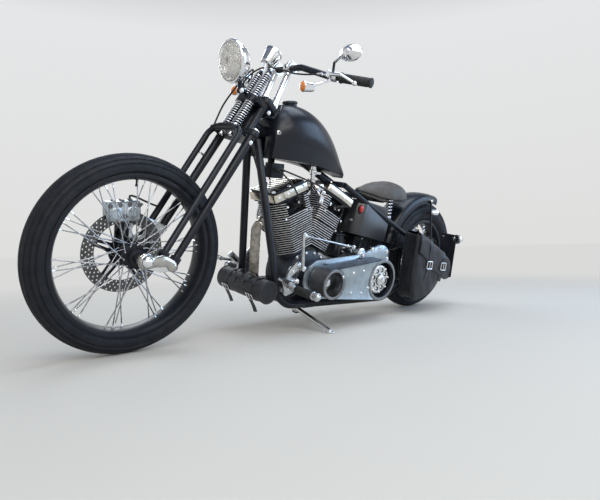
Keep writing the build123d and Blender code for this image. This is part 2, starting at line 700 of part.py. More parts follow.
def seat_post():
    """A cross tube between the stays, with the post down to the gearbox."""
    share = (STAY_FRONT[0] - SEAT_POST_X) / STAY_FRONT[0]
    z = STAY_FRONT[2] + (REAR_AXLE.Z + 6 - STAY_FRONT[2]) * share
    y = STAY_FRONT[1] + (DROPOUT_Y + 6 - STAY_FRONT[1]) * share
    return fused(rod((SEAT_POST_X, -y, z), (SEAT_POST_X, y, z), 11), rod((SEAT_POST_X, 0, z), (SEAT_POST_X, 0, 316), SEAT_POST_R))


# Engine and drive

def tilted(angle):
    """A plane at the crank whose Z runs up a cylinder's axis and whose Y points left."""
    a = math.radians(angle)
    return Plane(origin=(CRANK_X, 0, CRANK_Z), x_dir=(math.cos(a), 0, -math.sin(a)),
                 z_dir=(math.sin(a), 0, math.cos(a)))


def crankcase():
    low = (Align.CENTER, Align.CENTER, Align.MIN)
    drum = across(CRANK_X, CRANK_Z, 112, -74, 74)
    flat = Pos(CRANK_X + 4, 0, ENGINE_BED_Z + 37) * Box(236, 140, 74)
    rear = Pos(CRANK_X - 128, 0, CRANK_Z - 18) * Box(100, 130, 120)
    parts = [drum, flat, rear]
    for angle in (-V_ANGLE, V_ANGLE):
        parts.append(tilted(angle) * Cylinder(BARREL_R + 14, DECK, align=low))
    shaft = across(CRANK_X, CRANK_Z, 40, 60, PLATE_Y)
    cover = across(CRANK_X, CRANK_Z + 6, 92, -96, -70)
    cam_cover = across(CRANK_X + 6, CRANK_Z + 34, 58, -124, -90, 62)
    pump = Pos(CRANK_X - 96, -88, CRANK_Z - 20) * Box(70, 44, 80)
    for angle in (-V_ANGLE, V_ANGLE):
        block = Pos(-math.copysign(TAPPET_IN, angle), PUSHROD_Y, TAPPET_TOP - 16) * Box(2 * PUSHROD_SPREAD + 30, 30, 32)
        web = Pos(-math.copysign(TAPPET_IN, angle), PUSHROD_Y + 18, TAPPET_TOP - 22) * Box(50, 34, 20)
        parts += [tilted(angle) * block, tilted(angle) * web]
    return fused(parts, shaft, cover, cam_cover, pump)


def finned(first, last, core, half_y, outer):
    """A round core with a stack of fins, their corners cut off most on the outer side of the V."""
    low = (Align.CENTER, Align.CENTER, Align.MIN)
    big, small, w, d = OUTER_CORNER, INNER_CORNER, FIN_HALF_X, half_y
    quarter = [(w, d - big), (w - big, d), (small - w, d), (-w, d - small)]
    outline = quarter + [(x, -y) for x, y in reversed(quarter)]
    fin_face = make_face(Polyline(*[(x * outer, y) for x, y in outline], close=True))
    body = Pos(0, 0, first) * Cylinder(core, last - first, align=low)
    level = first + 6
    fins = []
    while level + FIN_THICK <= last:
        fins.append(Pos(0, 0, level) * extrude(fin_face, FIN_THICK))
        level += FIN_PITCH
    return body + fins


def barrel(angle):
    return tilted(angle) * finned(DECK, BARREL_TOP, BARREL_R, FIN_HALF_Y, math.copysign(1, angle))


def head(angle):
    """A finned head with a room for its spark plug at each side, and the bosses in the left one."""
    outer = math.copysign(1, angle)
    x0, x1, z0, y0 = PLUG_ROOM
    body = finned(BARREL_TOP, HEAD_TOP, BARREL_R + 6, HEAD_HALF_Y, outer)
    for side in (-1, 1):
        room = Box(x1 - x0, HEAD_HALF_Y, HEAD_TOP - z0 + 2)
        body = body - Pos(outer * (x0 + x1) / 2, side * (y0 + HEAD_HALF_Y / 2), (z0 + HEAD_TOP) / 2) * room
    bosses = [rod((outer * x, 40, z), (outer * x, y, z), r) for x, y, z, r in PLUG_BOSSES]
    return tilted(angle) * fused(body, bosses)


def rocker_box(angle):
    """A rocker cover: dark foot, wide bright band and an inset ribbed lid."""
    outer = math.copysign(1, angle)
    foot = Pos(0, 0, HEAD_TOP) * extrude(RectangleRounded(176, 160, 16), ROCKER_SEAT - HEAD_TOP)
    band = Pos(outer * 2, 0, ROCKER_SEAT) * extrude(RectangleRounded(190, 176, 14), ROCKER_BAND - ROCKER_SEAT)
    lid = Pos(outer * 2, 0, ROCKER_BAND) * extrude(RectangleRounded(176, 162, 14), ROCKER_TOP - ROCKER_BAND)
    boss = Pos(-outer * 4, PUSHROD_Y + 15, ROCKER_SEAT - 14) * Box(2 * PUSHROD_SPREAD + 30, 60, 28)
    return tilted(angle) * fused(foot, band, lid, boss)


def pushrod_tubes():
    """Two tubes a cylinder, from its tappet block up to the rocker box."""
    made = []
    for angle in (-V_ANGLE, V_ANGLE):
        plane = tilted(angle)
        for offset in (-PUSHROD_SPREAD, PUSHROD_SPREAD):
            start = Vector(offset - math.copysign(TAPPET_IN, angle), PUSHROD_Y, TAPPET_TOP + RUN)
            end = Vector(offset - math.copysign(4, angle), PUSHROD_Y, ROCKER_SEAT - 28 - RUN)
            made.append(rod(plane.from_local_coords(start), plane.from_local_coords(end), 10))
    return made


def air_cleaner():
    """Carburettor and round air cleaner on the right, with the manifold between the heads."""
    z = CRANK_Z + 236
    stub = across(CRANK_X, z, 21, -30, -112)
    bowl = Pos(CRANK_X, -134, z - 6) * Box(62, 52, 84)
    throat = across(CRANK_X, z, 30, -158, -108)
    can = across(CRANK_X, z, 94, -206, -158) + across(CRANK_X, z, 78, -216, -206)
    return fused(stub, bowl, throat, can)


def exhaust():
    """Wrapped pipes: the front one drops between the down tubes, both run back on the right."""
    front = tilted(V_ANGLE)
    rear = tilted(-V_ANGLE)
    port = BARREL_TOP + 34
    routes = (
        [front.from_local_coords(Vector(80, -42, port)), front.from_local_coords(Vector(124, -46, port - 12)),
         Vector(1122, -52, 300), Vector(1082, -92, 200), Vector(1020, -176, 166), Vector(430, -196, 172),
         Vector(180, -196, 196)],
        [rear.from_local_coords(Vector(-80, -60, port)), rear.from_local_coords(Vector(-112, -86, port - 12)),
         Vector(712, -152, 396), Vector(676, -196, 306), Vector(560, -200, 262), Vector(180, -196, 262)])
    made = []
    for route in routes:
        points = [tuple(p) for p in route]
        made += solids_of(pipe(points, PIPE_R, bend_radii(points)))
    return made


def gearbox():
    half = FINAL_Y - CHAIN_HALF - 5
    body = Pos(CLUTCH_X + 34, 0, 236) * Box(190, 2 * half, 176)
    body = fillet(body.edges().filter_by(Axis.Y), 26)
    shaft = across(CLUTCH_X, CLUTCH_Z, 30, half - 10, PLATE_Y)
    sprocket = across(CLUTCH_X, CLUTCH_Z, FINAL_SPROCKET_R, FINAL_Y - SPROCKET_HALF, FINAL_Y + SPROCKET_HALF)
    foot = Pos(CLUTCH_X + 34, 0, 138) * Box(150, 244, 20)
    return fused(body, shaft, sprocket, foot)


def motor_plate():
    """Plate behind the open belt with its cast rear shoulder, and the guard plate held outside the belt by posts."""
    outside = Plane(origin=(0, PLATE_Y + PLATE_THICK, 0), x_dir=(1, 0, 0), z_dir=(0, -1, 0))
    circles = [*Circle(FRONT_PULLEY_R + 22).moved(Location((CRANK_X, CRANK_Z))).edges(),
               *Circle(CLUTCH_R + 14).moved(Location((CLUTCH_X, CLUTCH_Z))).edges()]
    body = extrude(outside * make_hull(circles), PLATE_THICK)
    wing = make_face(Curve() + [
        ThreePointArc((664, 336), (604, 368), (544, 386)),
        ThreePointArc((544, 386), (486, 384), (454, 350)),
        ThreePointArc((454, 350), (452, 328), (466, 306)),
        Polyline((466, 306), (540, 290), (664, 336))])
    shoulder_y = PLATE_Y + PLATE_THICK + SHOULDER_RISE
    shoulder = Plane(origin=(0, shoulder_y, 0), x_dir=(1, 0, 0), z_dir=(0, -1, 0)) * wing
    shoulder = extrude(shoulder, shoulder_y - PLATE_Y)
    y0, y1 = BELT_Y1 + GUARD_GAP, BELT_Y1 + GUARD_GAP + GUARD_THICK
    guard_circles = [*Circle(FRONT_PULLEY_R - 2).moved(Location((CRANK_X, CRANK_Z))).edges(),
                     *Circle(CLUTCH_R - 2).moved(Location((CLUTCH_X, CLUTCH_Z))).edges()]
    guard = extrude(Plane(origin=(0, y1, 0), x_dir=(1, 0, 0), z_dir=(0, -1, 0)) * make_hull(guard_circles), y1 - y0)
    guard = guard - across(CRANK_X, CRANK_Z, FRONT_PULLEY_R + RING_LIP - 4, y0 - 1, y1 + 1)
    guard = guard - across(CLUTCH_X, CLUTCH_Z, CLUTCH_R + RING_LIP - 4, y0 - 1, y1 + 1)
    posts = []
    for share, rise in GUARD_POSTS:
        x = CRANK_X + (CLUTCH_X - CRANK_X) * share
        posts.append(across(x, (CRANK_Z + CLUTCH_Z) / 2 + rise, 8, PLATE_Y + PLATE_THICK, y0))
    return fused(body, shoulder, guard, posts)


def primary_pulleys():
    """Front pulley, a deep cup with its nut, and the clutch basket round its windowed pressure plate."""
    f = FRONT_PULLEY_R - BELT_THICK - RUN
    c = CLUTCH_R - BELT_THICK - RUN
    lip = RING_LIP - 2 * RUN
    back = PLATE_Y + PLATE_THICK + RUN
    y0 = BELT_Y0
    y1 = BELT_Y1 + 1
    front = lathe([(0, back), (30, back), (30, y0 - 4), (f + lip, y0 - 4), (f + lip, y0 - 1), (f, y0 - 1), (f, y1),
                   (f + lip, y1), (f + lip, y1 + 7), (f - 4, y1 + 7), (f - 6, y0 + 14), (26, y0 + 10),
                   (26, y0 + 28), (16, y0 + 28), (16, y0 + 40), (0, y0 + 40)], CRANK_X, CRANK_Z)
    rear = lathe([(0, back), (34, back), (34, y0 - 4), (c + lip, y0 - 4), (c + lip, y0 - 1), (c, y0 - 1), (c, y1),
                  (c + lip, y1), (c + lip, y1 + 7), (c - 5, y1 + 7), (c - 7, y1 - 32), (70, y1 - 32), (70, y1 - 15),
                  (63, y1 - 10), (28, y1 - 10), (26, y1 - 1), (16, y1 - 1), (14, y1 + 6), (0, y1 + 6)],
                 CLUTCH_X, CLUTCH_Z)
    for n in range(8):
        a = math.radians(n * 45 + 15)
        rear = rear - across(CLUTCH_X + 44 * math.cos(a), CLUTCH_Z + 44 * math.sin(a), 10, y1 - 24, y1)
    return solids_of(front, rear)


def loop_belt(x0, z0, r0, x1, z1, r1, y0, y1, thick):
    """A flat belt round two pulleys."""
    outer = make_hull([*Circle(r0).moved(Location((x0, z0))).edges(), *Circle(r1).moved(Location((x1, z1))).edges()])
    inner = make_hull([*Circle(r0 - thick).moved(Location((x0, z0))).edges(),
                       *Circle(r1 - thick).moved(Location((x1, z1))).edges()])
    plane = Plane(origin=(0, y1, 0), x_dir=(1, 0, 0), z_dir=(0, -1, 0))
    return extrude(plane * (outer - inner), y1 - y0)


def primary_belt():
    return loop_belt(CRANK_X, CRANK_Z, FRONT_PULLEY_R, CLUTCH_X, CLUTCH_Z, CLUTCH_R, BELT_Y0, BELT_Y1, BELT_THICK)


def final_chain():
    reach = CHAIN_GAP + CHAIN_DEPTH
    return loop_belt(CLUTCH_X, CLUTCH_Z, FINAL_SPROCKET_R + reach, 0, REAR_AXLE.Z, FINAL_WHEEL_R + reach,
                     FINAL_Y - CHAIN_HALF, FINAL_Y + CHAIN_HALF, CHAIN_DEPTH)


def rear_sprocket():
    """The final sprocket, bolted to the hub's left end."""
    bore = AXLE_R + 2
    y0 = REAR_HUB_HALF
    outline = [(bore, y0), (56, y0), (56, FINAL_Y - SPROCKET_HALF), (FINAL_WHEEL_R, FINAL_Y - SPROCKET_HALF),
               (FINAL_WHEEL_R, FINAL_Y + SPROCKET_HALF), (bore, FINAL_Y + SPROCKET_HALF)]
    body = lathe(outline, REAR_AXLE.X, REAR_AXLE.Z)
    for n in range(6):
        a = math.radians(n * 60)
        x, z = REAR_AXLE.X + 74 * math.cos(a), REAR_AXLE.Z + 74 * math.sin(a)
        body = body - across(x, z, 12, FINAL_Y - 10, FINAL_Y + 10)
    return body


def starter():
    x, z = STARTER_AT
    return fused(across(x, z, STARTER_R, 30, PLATE_Y), across(x, z, STARTER_R - 6, 20, 30))


# Bodywork

def lofted(sections):
    """A crowned form through sections across the machine, each a flat underside, two sides and one arc."""
    faces = []
    for x, half, low, wide, top in sections:
        across_plane = Plane(origin=(x, 0, 0), x_dir=(0, 1, 0), z_dir=(1, 0, 0))
        inset = half * 0.9
        faces.append(across_plane * make_face(Curve() + [
            Polyline((-half, wide), (-inset, low), (inset, low), (half, wide)),
            ThreePointArc((half, wide), (0, top), (-half, wide))]))
    return loft([face.face() for face in faces])


def fuel_tank():
    """A tall teardrop tank over the backbone, open below for it and hollowed behind the steering head."""
    body = lofted(TANK_SECTIONS)
    tunnel_start = fork_point(NECK_LOW_S + 60, STEER_T)
    end = Vector(STAY_FRONT[0], 0, STAY_FRONT[2])
    groove = rod(tunnel_start, end, BACKBONE_R + RUN)
    slot = plate([(tunnel_start.X, tunnel_start.Z), (end.X, end.Z), (end.X, 600), (tunnel_start.X, 600)],
                 -BACKBONE_R - RUN, BACKBONE_R + RUN)
    throat = rod(fork_point(NECK_LOW_S - 20, STEER_T), fork_point(NECK_TOP_S + 60, STEER_T), NECK_R + 1)
    sweep_room = rod(fork_point(NECK_TOP_S - 6, STEER_T), fork_point(NECK_TOP_S + 90, STEER_T), CROWN_SWEEP_R)
    filler = rod((1060, 0, 950), (1066, 0, 976), 30, 28)
    return cut(fused(body, filler), groove, slot, throat, sweep_room)


def coil_box():
    """The ignition coil's case on its hanger from the backbone."""
    start = fork_point(NECK_LOW_S + 60, STEER_T)
    share = (COIL_BOX_X - STAY_FRONT[0]) / (start.X - STAY_FRONT[0])
    spine_z = STAY_FRONT[2] + (start.Z - STAY_FRONT[2]) * share
    case = Pos(COIL_BOX_X, 34, spine_z - COIL_BOX_DROP) * Box(64, 44, 60)
    hanger = Pos(COIL_BOX_X, 8, spine_z - COIL_BOX_DROP / 2) * Box(30, 9, COIL_BOX_DROP)
    return fused(case, hanger)


def oil_tank():
    """A horseshoe oil tank below the seat: rounded front corners and a hollow at its back for the battery."""
    half, front, back, hollow, c = OIL_TANK_HALF, OIL_TANK_FRONT, OIL_TANK_BACK, OIL_TANK_HOLLOW, OIL_TANK_CORNER
    outline = make_face(Curve() + [
        Line((back, -half), (front - c, -half)),
        ThreePointArc((front - c, -half), (front - 0.29 * c, 0.29 * c - half), (front, c - half)),
        Line((front, c - half), (front, half - c)),
        ThreePointArc((front, half - c), (front - 0.29 * c, half - 0.29 * c), (front - c, half)),
        Line((front - c, half), (back, half)),
        Polyline((back, half), (back, hollow), (front - 90, hollow), (front - 90, -hollow), (back, -hollow),
                 (back, -half))])
    pivot = Pos(front, 0, OIL_TANK_LOW)
    body = pivot * Rot(0, -OIL_TANK_TILT, 0) * Pos(-front, 0, 0) * extrude(outline, OIL_TANK_HEIGHT)
    spring_room = Pos(SEAT_SPRING_X - 26, 0, OIL_TANK_LOW + 122) * Box(100, 2 * half + 20, 120)
    return body - spring_room


def rear_fender():
    """A round-shouldered fender that ends just behind its top, with struts and a small rear-facing lamp."""
    r, w, h, skirt = FENDER_R, FENDER_WALL, FENDER_HALF, FENDER_SKIRT_R
    bow = r - 30
    section = make_face(Curve() + [
        Line((skirt, h), (bow, h)), ThreePointArc((bow, h), (r - 9, h * 0.8), (r - 1, h * 0.45)),
        ThreePointArc((r - 1, h * 0.45), (r, 0), (r - 1, -h * 0.45)),
        ThreePointArc((r - 1, -h * 0.45), (r - 9, -h * 0.8), (bow, -h)), Line((bow, -h), (skirt, -h)),
        Line((skirt, -h), (skirt, w - h)), Line((skirt, w - h), (bow, w - h)),
        ThreePointArc((bow, w - h), (r - 9 - w, w - h * 0.8), (r - 1 - w, -h * 0.45)),
        ThreePointArc((r - 1 - w, -h * 0.45), (r - w, 0), (r - 1 - w, h * 0.45)),
        ThreePointArc((r - 1 - w, h * 0.45), (r - 9 - w, h * 0.8 - w), (bow, h - w)),
        Line((bow, h - w), (skirt, h - w)), Line((skirt, h - w), (skirt, h))])
    swept = revolve(Rot(0, -FENDER_FROM, 0) * section, Axis.Y, -(FENDER_TO - FENDER_FROM))
    body = Pos(FENDER_X, 0, REAR_AXLE.Z) * swept
    trim = []
    for side in (-1, 1):
        top = (FENDER_X + 4, side * (h + 6), REAR_AXLE.Z + skirt + 14)
        foot = (REAR_AXLE.X + 26, side * (DROPOUT_Y + 2), REAR_AXLE.Z + 30)
        trim += [rod(foot, top, 6), across(top[0], top[2], 9, side * (h - 1), side * (h + 13))]
        lamp_z = REAR_AXLE.Z + skirt - 48
        share = (lamp_z - foot[2]) / (top[2] - foot[2])
        y = foot[1] + (top[1] - foot[1]) * share
        trim += [rod((FENDER_X + 6, y, lamp_z), (FENDER_X - 52, y, lamp_z), 15, 17)]
    return fused(body, trim)


def seat():
    """A solo saddle, plain: a tapered, crowned pad."""
    return lofted(SEAT_SECTIONS)


def seat_springs():
    """Two coil springs, standing on tabs from the stays, and the saddle's front hinge."""
    share = (STAY_FRONT[0] - SEAT_POST_X) / STAY_FRONT[0]
    z = STAY_FRONT[2] + (REAR_AXLE.Z + 6 - STAY_FRONT[2]) * share
    made = [rod((SEAT_POST_X - 4, 0, z + 4), SEAT_NOSE, 8)]
    share = (STAY_FRONT[0] - SEAT_SPRING_X) / STAY_FRONT[0]
    stay_z = STAY_FRONT[2] + (REAR_AXLE.Z + 14 - STAY_FRONT[2]) * share
    for side in (-1, 1):
        x, y = SEAT_SPRING_X, side * SEAT_SPRING_Y
        spring = rod((x, y, stay_z + 12), (x, y, SEAT_SPRING_TOP), SEAT_SPRING_R)
        made.append(fused(spring, rod((x, y, stay_z), (x, y, stay_z + 14), SEAT_SPRING_R - 3)))
    return made


def saddle_bag():
    """A leather bag on the left, plain: a deep box with round corners."""
    outline = [(318, 464), (327, 370), (327, 290), (322, 190), (302, 124), (240, 118), (150, 142), (84, 196), (30, 256),
               (4, 314), (50, 344), (128, 388), (206, 418), (262, 446)]
    inner = RAIL_Y + FRAME_TUBE_R + RUN
    return plate(outline, inner, inner + BAG_THICK, BAG_CORNER)


def plate_bracket():
    """A side-mounted bracket with a blank plate and a round lamp behind it."""
    z = REAR_AXLE.Z
    arm = rod((-8, DROPOUT_Y + 12, z), (PLATE_X, DROPOUT_Y + 14, z + 4), 9)
    board = Pos(PLATE_X, DROPOUT_Y + 15, z + 16) * Box(6, PLATE_WIDE, PLATE_HIGH)
    lamp = rod((PLATE_X - 1, DROPOUT_Y + 66, z + 116), (PLATE_X - 44, DROPOUT_Y + 66, z + 116), 25, 16)
    return fused(arm, board, lamp)


def tool_roll():
    return across(ROLL_X, ROLL_Z, ROLL_R, -160, 140)


def foot_controls():
    """Left side: polished bracket, peg, shift pedal, upright arm and the rod to the gearbox."""
    return fused(control_side(1), shift_linkage())


def control_side(side):
    """A shaped bracket on its tie to the down tube, with the peg and a pedal, on one side."""
    y = RAIL_Y + 20
    outline = [(1072, 204), (1116, 190), (1132, 240), (1104, 300), (1064, 334), (1036, 320), (1056, 262)]
    x, z = PEG_AT
    px, pz = PEDAL_AT
    parts = [plate(outline, y, y + 10, 9),
             rod((1133, RAIL_Y - 16, 214), (1108, y + 4, 214), 11),
             across(x, z, PEG_R, y + 4, PEG_OUT, PEG_R + 2),
             across(x, z, PEG_R + 3, PEG_OUT, PEG_OUT + 6), Pos(x, PEG_OUT + 6, z) * Sphere(PEG_R - 1),
             across(px, pz, 9, y + 4, y + 56), rod((px, y + 50, pz), (px + 86, y + 54, pz + 14), 7),
             rod((px + 86, y + 50, pz + 14), (px + 82, y + 114, pz + 10), 8)]
    body = fused(parts)
    return body if side > 0 else mirrored(body)


def shift_linkage():
    """The lever that stands up from the pedal shaft, and the long rod back to the gearbox's own lever."""
    y = RAIL_Y + 45
    x, z = SHIFT_TOP
    ex, ez = SHIFT_END
    parts = [across(1048, 306, 11, RAIL_Y + 24, y + 8), rod((1048, y, 306), (x, y, z), 8, 6),
             across(x, z, 8, y - 12, y + 6), rod((x, y - 9, z), (ex, 150, ez), 5),
             across(ex, ez, 8, 128, 158), rod((ex, 134, ez), (ex - 27, 128, ez - 40), 6)]
    return fused(parts)


def brake_controls():
    """Right side: bracket, peg, brake pedal and master cylinder."""
    px, pz = PEDAL_AT
    cylinder = rod((px - 12, -RAIL_Y - 46, pz - 14), (px + 52, -RAIL_Y - 52, pz + 38), 15)
    return fused(control_side(-1), cylinder, rod((px - 4, -RAIL_Y - 22, pz), (px, -RAIL_Y - 50, pz), 8))


def rear_caliper():
    y = -REAR_HUB_HALF - 4
    angle = 150.0
    reach = ROTOR_R - 8
    a = math.radians(angle)
    at = Vector(reach * math.cos(a), y, REAR_AXLE.Z + reach * math.sin(a))
    frame = Pos(at) * Rot(0, 90 - angle, 0)
    block = frame * Box(110, 44, 60)
    slot = frame * Pos(0, 0, -20) * Box(140, 10, 64)
    arm = rod((0, y - 28, REAR_AXLE.Z), (at.X, y - 28, at.Z), 9)
    eye = across(0, REAR_AXLE.Z, 20, y - 36, y - 20) - across(0, REAR_AXLE.Z, AXLE_R + RUN, y - 50, y)
    return fused(block - slot, cut(arm, across(0, REAR_AXLE.Z, AXLE_R + RUN, y - 50, y)), eye)


def side_stand():
    """A straight leg out to the left, with its pivot eye and a round foot flat on the leaned ground."""
    pivot = Vector(*STAND_PIVOT)
    foot = stand_foot()
    down = Vector(0, math.sin(lean), -math.cos(lean))
    eye = rod(pivot - STAND_AXIS * 12, pivot + STAND_AXIS * 12, 17)
    leg = rod(pivot, foot - down * 8, STAND_R + 2, STAND_R)
    pad = rod(foot - down * 7, foot, FOOT_R)
    return fused(eye, leg, pad) - rod(pivot - STAND_AXIS * 20, pivot + STAND_AXIS * 20, 8 + BEARING_GAP)


def stand_foot():
    """The middle of the foot's sole, on the leaned ground."""
    z = STAND_FOOT_Y * math.tan(lean)
    return Vector(STAND_FOOT_X, STAND_FOOT_Y, z)


STAND_STOWED = Vector(-1, 0.34, -0.1).normalized()
STAND_DOWN = (stand_foot() - Vector(*STAND_PIVOT)).normalized()
STAND_AXIS = STAND_DOWN.cross(STAND_STOWED).normalized()
STAND_SWING = STAND_DOWN.get_angle(STAND_STOWED)


def stand_mount():
    """A clevis below the engine's bed plate for the stand's pivot pin."""
    pivot = Vector(*STAND_PIVOT)
    pin = rod(pivot - STAND_AXIS * 22, pivot + STAND_AXIS * 22, 8)
    ears = [rod(pivot + STAND_AXIS * a, pivot + STAND_AXIS * (a + 6), 16) for a in (12 + RUN, -18 - RUN)]
    web = Pos(pivot.X - 6, pivot.Y - 18, ENGINE_BED_Z - 14) * Box(44, 30, 14)
    room = rod(pivot - STAND_AXIS * (12 + RUN), pivot + STAND_AXIS * (12 + RUN), 24)
    return fused(pin, ears, cut(web, room))


def rear_axle():
    return across(0, REAR_AXLE.Z, AXLE_R, -DROPOUT_Y - 22, DROPOUT_Y + 22)


def build_nodes():
    """Every named piece on the upright machine."""
    fx, fz = FRONT_AXLE.X, FRONT_AXLE.Z
    rz = REAR_AXLE.Z
    nodes = {}
    nodes["backbone"] = neck_and_backbone()
    nodes["down_tubes"] = cut(both(down_tube()), nodes["backbone"])
    nodes["lower_rails"] = fused(both(lower_rail()), rail_cross_members(), stand_mount())
    middle = Pos(CRANK_X, 0, CRANK_Z + 250)
    front_half = middle * Pos(CYLINDER_GAP / 2 + 250, 0, 0) * Box(500, 500, 600)
    rear_half = middle * Pos(-CYLINDER_GAP / 2 - 250, 0, 0) * Box(500, 500, 600)
    nodes["upper_stays"] = cut(both(upper_stay()), nodes["backbone"], nodes["lower_rails"])
    nodes["seat_post"] = cut(seat_post(), nodes["upper_stays"])
    nodes["crankcase"] = crankcase()
    for name, angle, side in (("front", V_ANGLE, front_half), ("rear", -V_ANGLE, rear_half)):
        nodes[name + "_cylinder"] = cut(barrel(angle) & side, nodes["crankcase"])
        nodes[name + "_head"] = head(angle)
        nodes[name + "_rocker_box"] = rocker_box(angle)
    nodes["pushrod_tubes"] = pushrod_tubes()
    nodes["air_cleaner"] = cut(air_cleaner(), nodes["front_head"], nodes["rear_head"], nodes["pushrod_tubes"],
                               nodes["front_cylinder"], nodes["rear_cylinder"])
    nodes["exhaust_pipes"] = cut(exhaust(), nodes["front_head"], nodes["rear_head"])
    nodes["gearbox"] = cut(gearbox(), nodes["crankcase"], nodes["seat_post"], nodes["lower_rails"])
    nodes["motor_plate"] = motor_plate()
    nodes["primary_pulleys"] = primary_pulleys()
    nodes["primary_belt"] = primary_belt()
    nodes["final_chain"] = final_chain()
    nodes["starter"] = cut(starter(), nodes["gearbox"])
    nodes["fuel_tank"] = fuel_tank()
    nodes["coil_box"] = cut(coil_box(), nodes["backbone"])
    nodes["oil_tank"] = cut(oil_tank(), nodes["upper_stays"], nodes["seat_post"])
    nodes["seat"] = seat()
    nodes["seat_springs"] = cut(seat_springs(), nodes["upper_stays"], nodes["seat"], nodes["seat_post"])
    nodes["rear_fender"] = cut(rear_fender(), nodes["lower_rails"], nodes["upper_stays"])
    nodes["plate_bracket"] = cut(plate_bracket(), nodes["lower_rails"])
    nodes["saddle_bag"] = cut(saddle_bag(), nodes["plate_bracket"])
    nodes["foot_controls"] = cut(foot_controls(), nodes["down_tubes"], nodes["starter"], nodes["motor_plate"])
    nodes["brake_controls"] = cut(brake_controls(), nodes["down_tubes"])
    nodes["tool_roll"] = cut(tool_roll(), nodes["down_tubes"], nodes["foot_controls"], nodes["brake_controls"])
    nodes["rear_caliper"] = cut(rear_caliper(), nodes["lower_rails"])
    nodes["rear_axle"] = cut(rear_axle(), nodes["plate_bracket"], nodes["lower_rails"])
    nodes["fork_rigid_legs"] = fork_rigid()
    nodes["fork_spring_legs"] = fork_spring_legs()
    nodes["fork_springs"] = fork_springs()
    nodes["rockers"] = rockers()
    nodes["headlight"] = cut(headlight(), nodes["fork_rigid_legs"], nodes["fork_spring_legs"], nodes["fork_springs"])
    nodes["handlebar"] = handlebar()
    nodes["risers"] = cut(risers(), nodes["fork_rigid_legs"])
    nodes["gauge"] = cut(gauge(), nodes["fork_rigid_legs"])
    nodes["grips"] = grips()
    nodes["hand_levers"] = hand_levers()
    nodes["mirrors"] = cut(mirrors(), nodes["hand_levers"], nodes["handlebar"])
    nodes["front_caliper"] = cut(front_caliper(), nodes["fork_rigid_legs"], nodes["fork_spring_legs"])
    nodes["front_rim"] = rim(FRONT_BEAD_R, FRONT_RIM_HALF, FRONT_WELL_R, fx, fz)
    nodes["front_tyre"] = cut(tyre(FRONT_TYRE_R, FRONT_TYRE_HALF, FRONT_BEAD_R, FRONT_RIM_HALF, fx, fz),
                              nodes["front_rim"])
    nodes["front_hub"] = hub(FRONT_HUB_HALF, FRONT_FLANGE_R, 30, fx, fz)
    nodes["front_spokes"] = spokes(FRONT_FLANGE_R, 30, FRONT_WELL_R, 8, fx, fz)
    nodes["front_rotor"] = rotor(ROTOR_R, -FRONT_HUB_HALF - 4, fx, fz, AXLE_R + 2)
    nodes["rear_rim"] = rim(REAR_BEAD_R, REAR_RIM_HALF, REAR_WELL_R, 0, rz)
    nodes["rear_tyre"] = cut(tyre(REAR_TYRE_R, REAR_TYRE_HALF, REAR_BEAD_R, REAR_RIM_HALF, 0, rz), nodes["rear_rim"])
    nodes["rear_hub"] = hub(REAR_HUB_HALF, REAR_FLANGE_R, 44, 0, rz)
    nodes["rear_spokes"] = spokes(REAR_FLANGE_R, 44, REAR_WELL_R, 14, 0, rz)
    nodes["rear_rotor"] = rotor(ROTOR_R, -REAR_HUB_HALF - 4, 0, rz, AXLE_R + 2)
    nodes["rear_sprocket"] = rear_sprocket()
    nodes["side_stand"] = side_stand()
    return nodes


BODIES = {
    "fork": ["fork_rigid_legs", "fork_spring_legs", "fork_springs", "rockers", "headlight", "handlebar", "risers",
             "gauge", "grips", "hand_levers", "mirrors", "front_caliper"],
    "front_wheel": ["front_tyre", "front_rim", "front_hub", "front_spokes", "front_rotor"],
    "rear_wheel": ["rear_tyre", "rear_rim", "rear_hub", "rear_spokes", "rear_rotor", "rear_sprocket"],
    "stand": ["side_stand"],
}


def leaned(shape):
    """The solids of a piece, turned with the machine onto its stand."""
    return [Rot(-LEAN, 0, 0) * solid for solid in solids_of(shape)]


def main():
    os.makedirs("parts", exist_ok=True)
    nodes = {name: leaned(shape) for name, shape in build_nodes().items()}
    boxes = [solid.bounding_box() for solids in nodes.values() for solid in solids]
    middle_x = (min(b.min.X for b in boxes) + max(b.max.X for b in boxes)) / 2
    middle_y = (min(b.min.Y for b in boxes) + max(b.max.Y for b in boxes)) / 2
    shift = Pos(-middle_x, -middle_y, -min(b.min.Z for b in boxes))
    for name, solids in nodes.items():
        moved = [shift * solid for solid in solids]
        piece = Compound(children=moved) if len(moved) > 1 else moved[0]
        if not export_step(piece, os.path.join("parts", name + ".step")):
            raise RuntimeError(name)
    print("origin shift", shift.position)


if __name__ == "__main__":
    main()
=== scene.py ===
import collections
from math import asin, atan2, copysign, cos, exp, hypot, pi, radians, sin, tan

import bmesh
import bpy
from mathutils import Matrix, Vector
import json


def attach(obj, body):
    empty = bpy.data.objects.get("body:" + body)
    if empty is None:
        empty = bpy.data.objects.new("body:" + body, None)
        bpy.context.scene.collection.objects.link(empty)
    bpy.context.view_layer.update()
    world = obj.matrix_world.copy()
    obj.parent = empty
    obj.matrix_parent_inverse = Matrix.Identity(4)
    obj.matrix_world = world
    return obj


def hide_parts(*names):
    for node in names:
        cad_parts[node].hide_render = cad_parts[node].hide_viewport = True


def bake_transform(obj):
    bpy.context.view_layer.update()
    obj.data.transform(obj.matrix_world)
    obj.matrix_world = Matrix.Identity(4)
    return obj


# The looks of a leaning chopper motorcycle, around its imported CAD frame.
# Pieces are drawn on the upright machine in millimetres (X forward, Y left, Z up, origin on the ground
# below the rear axle), and BIKE carries them into the frame's metres.

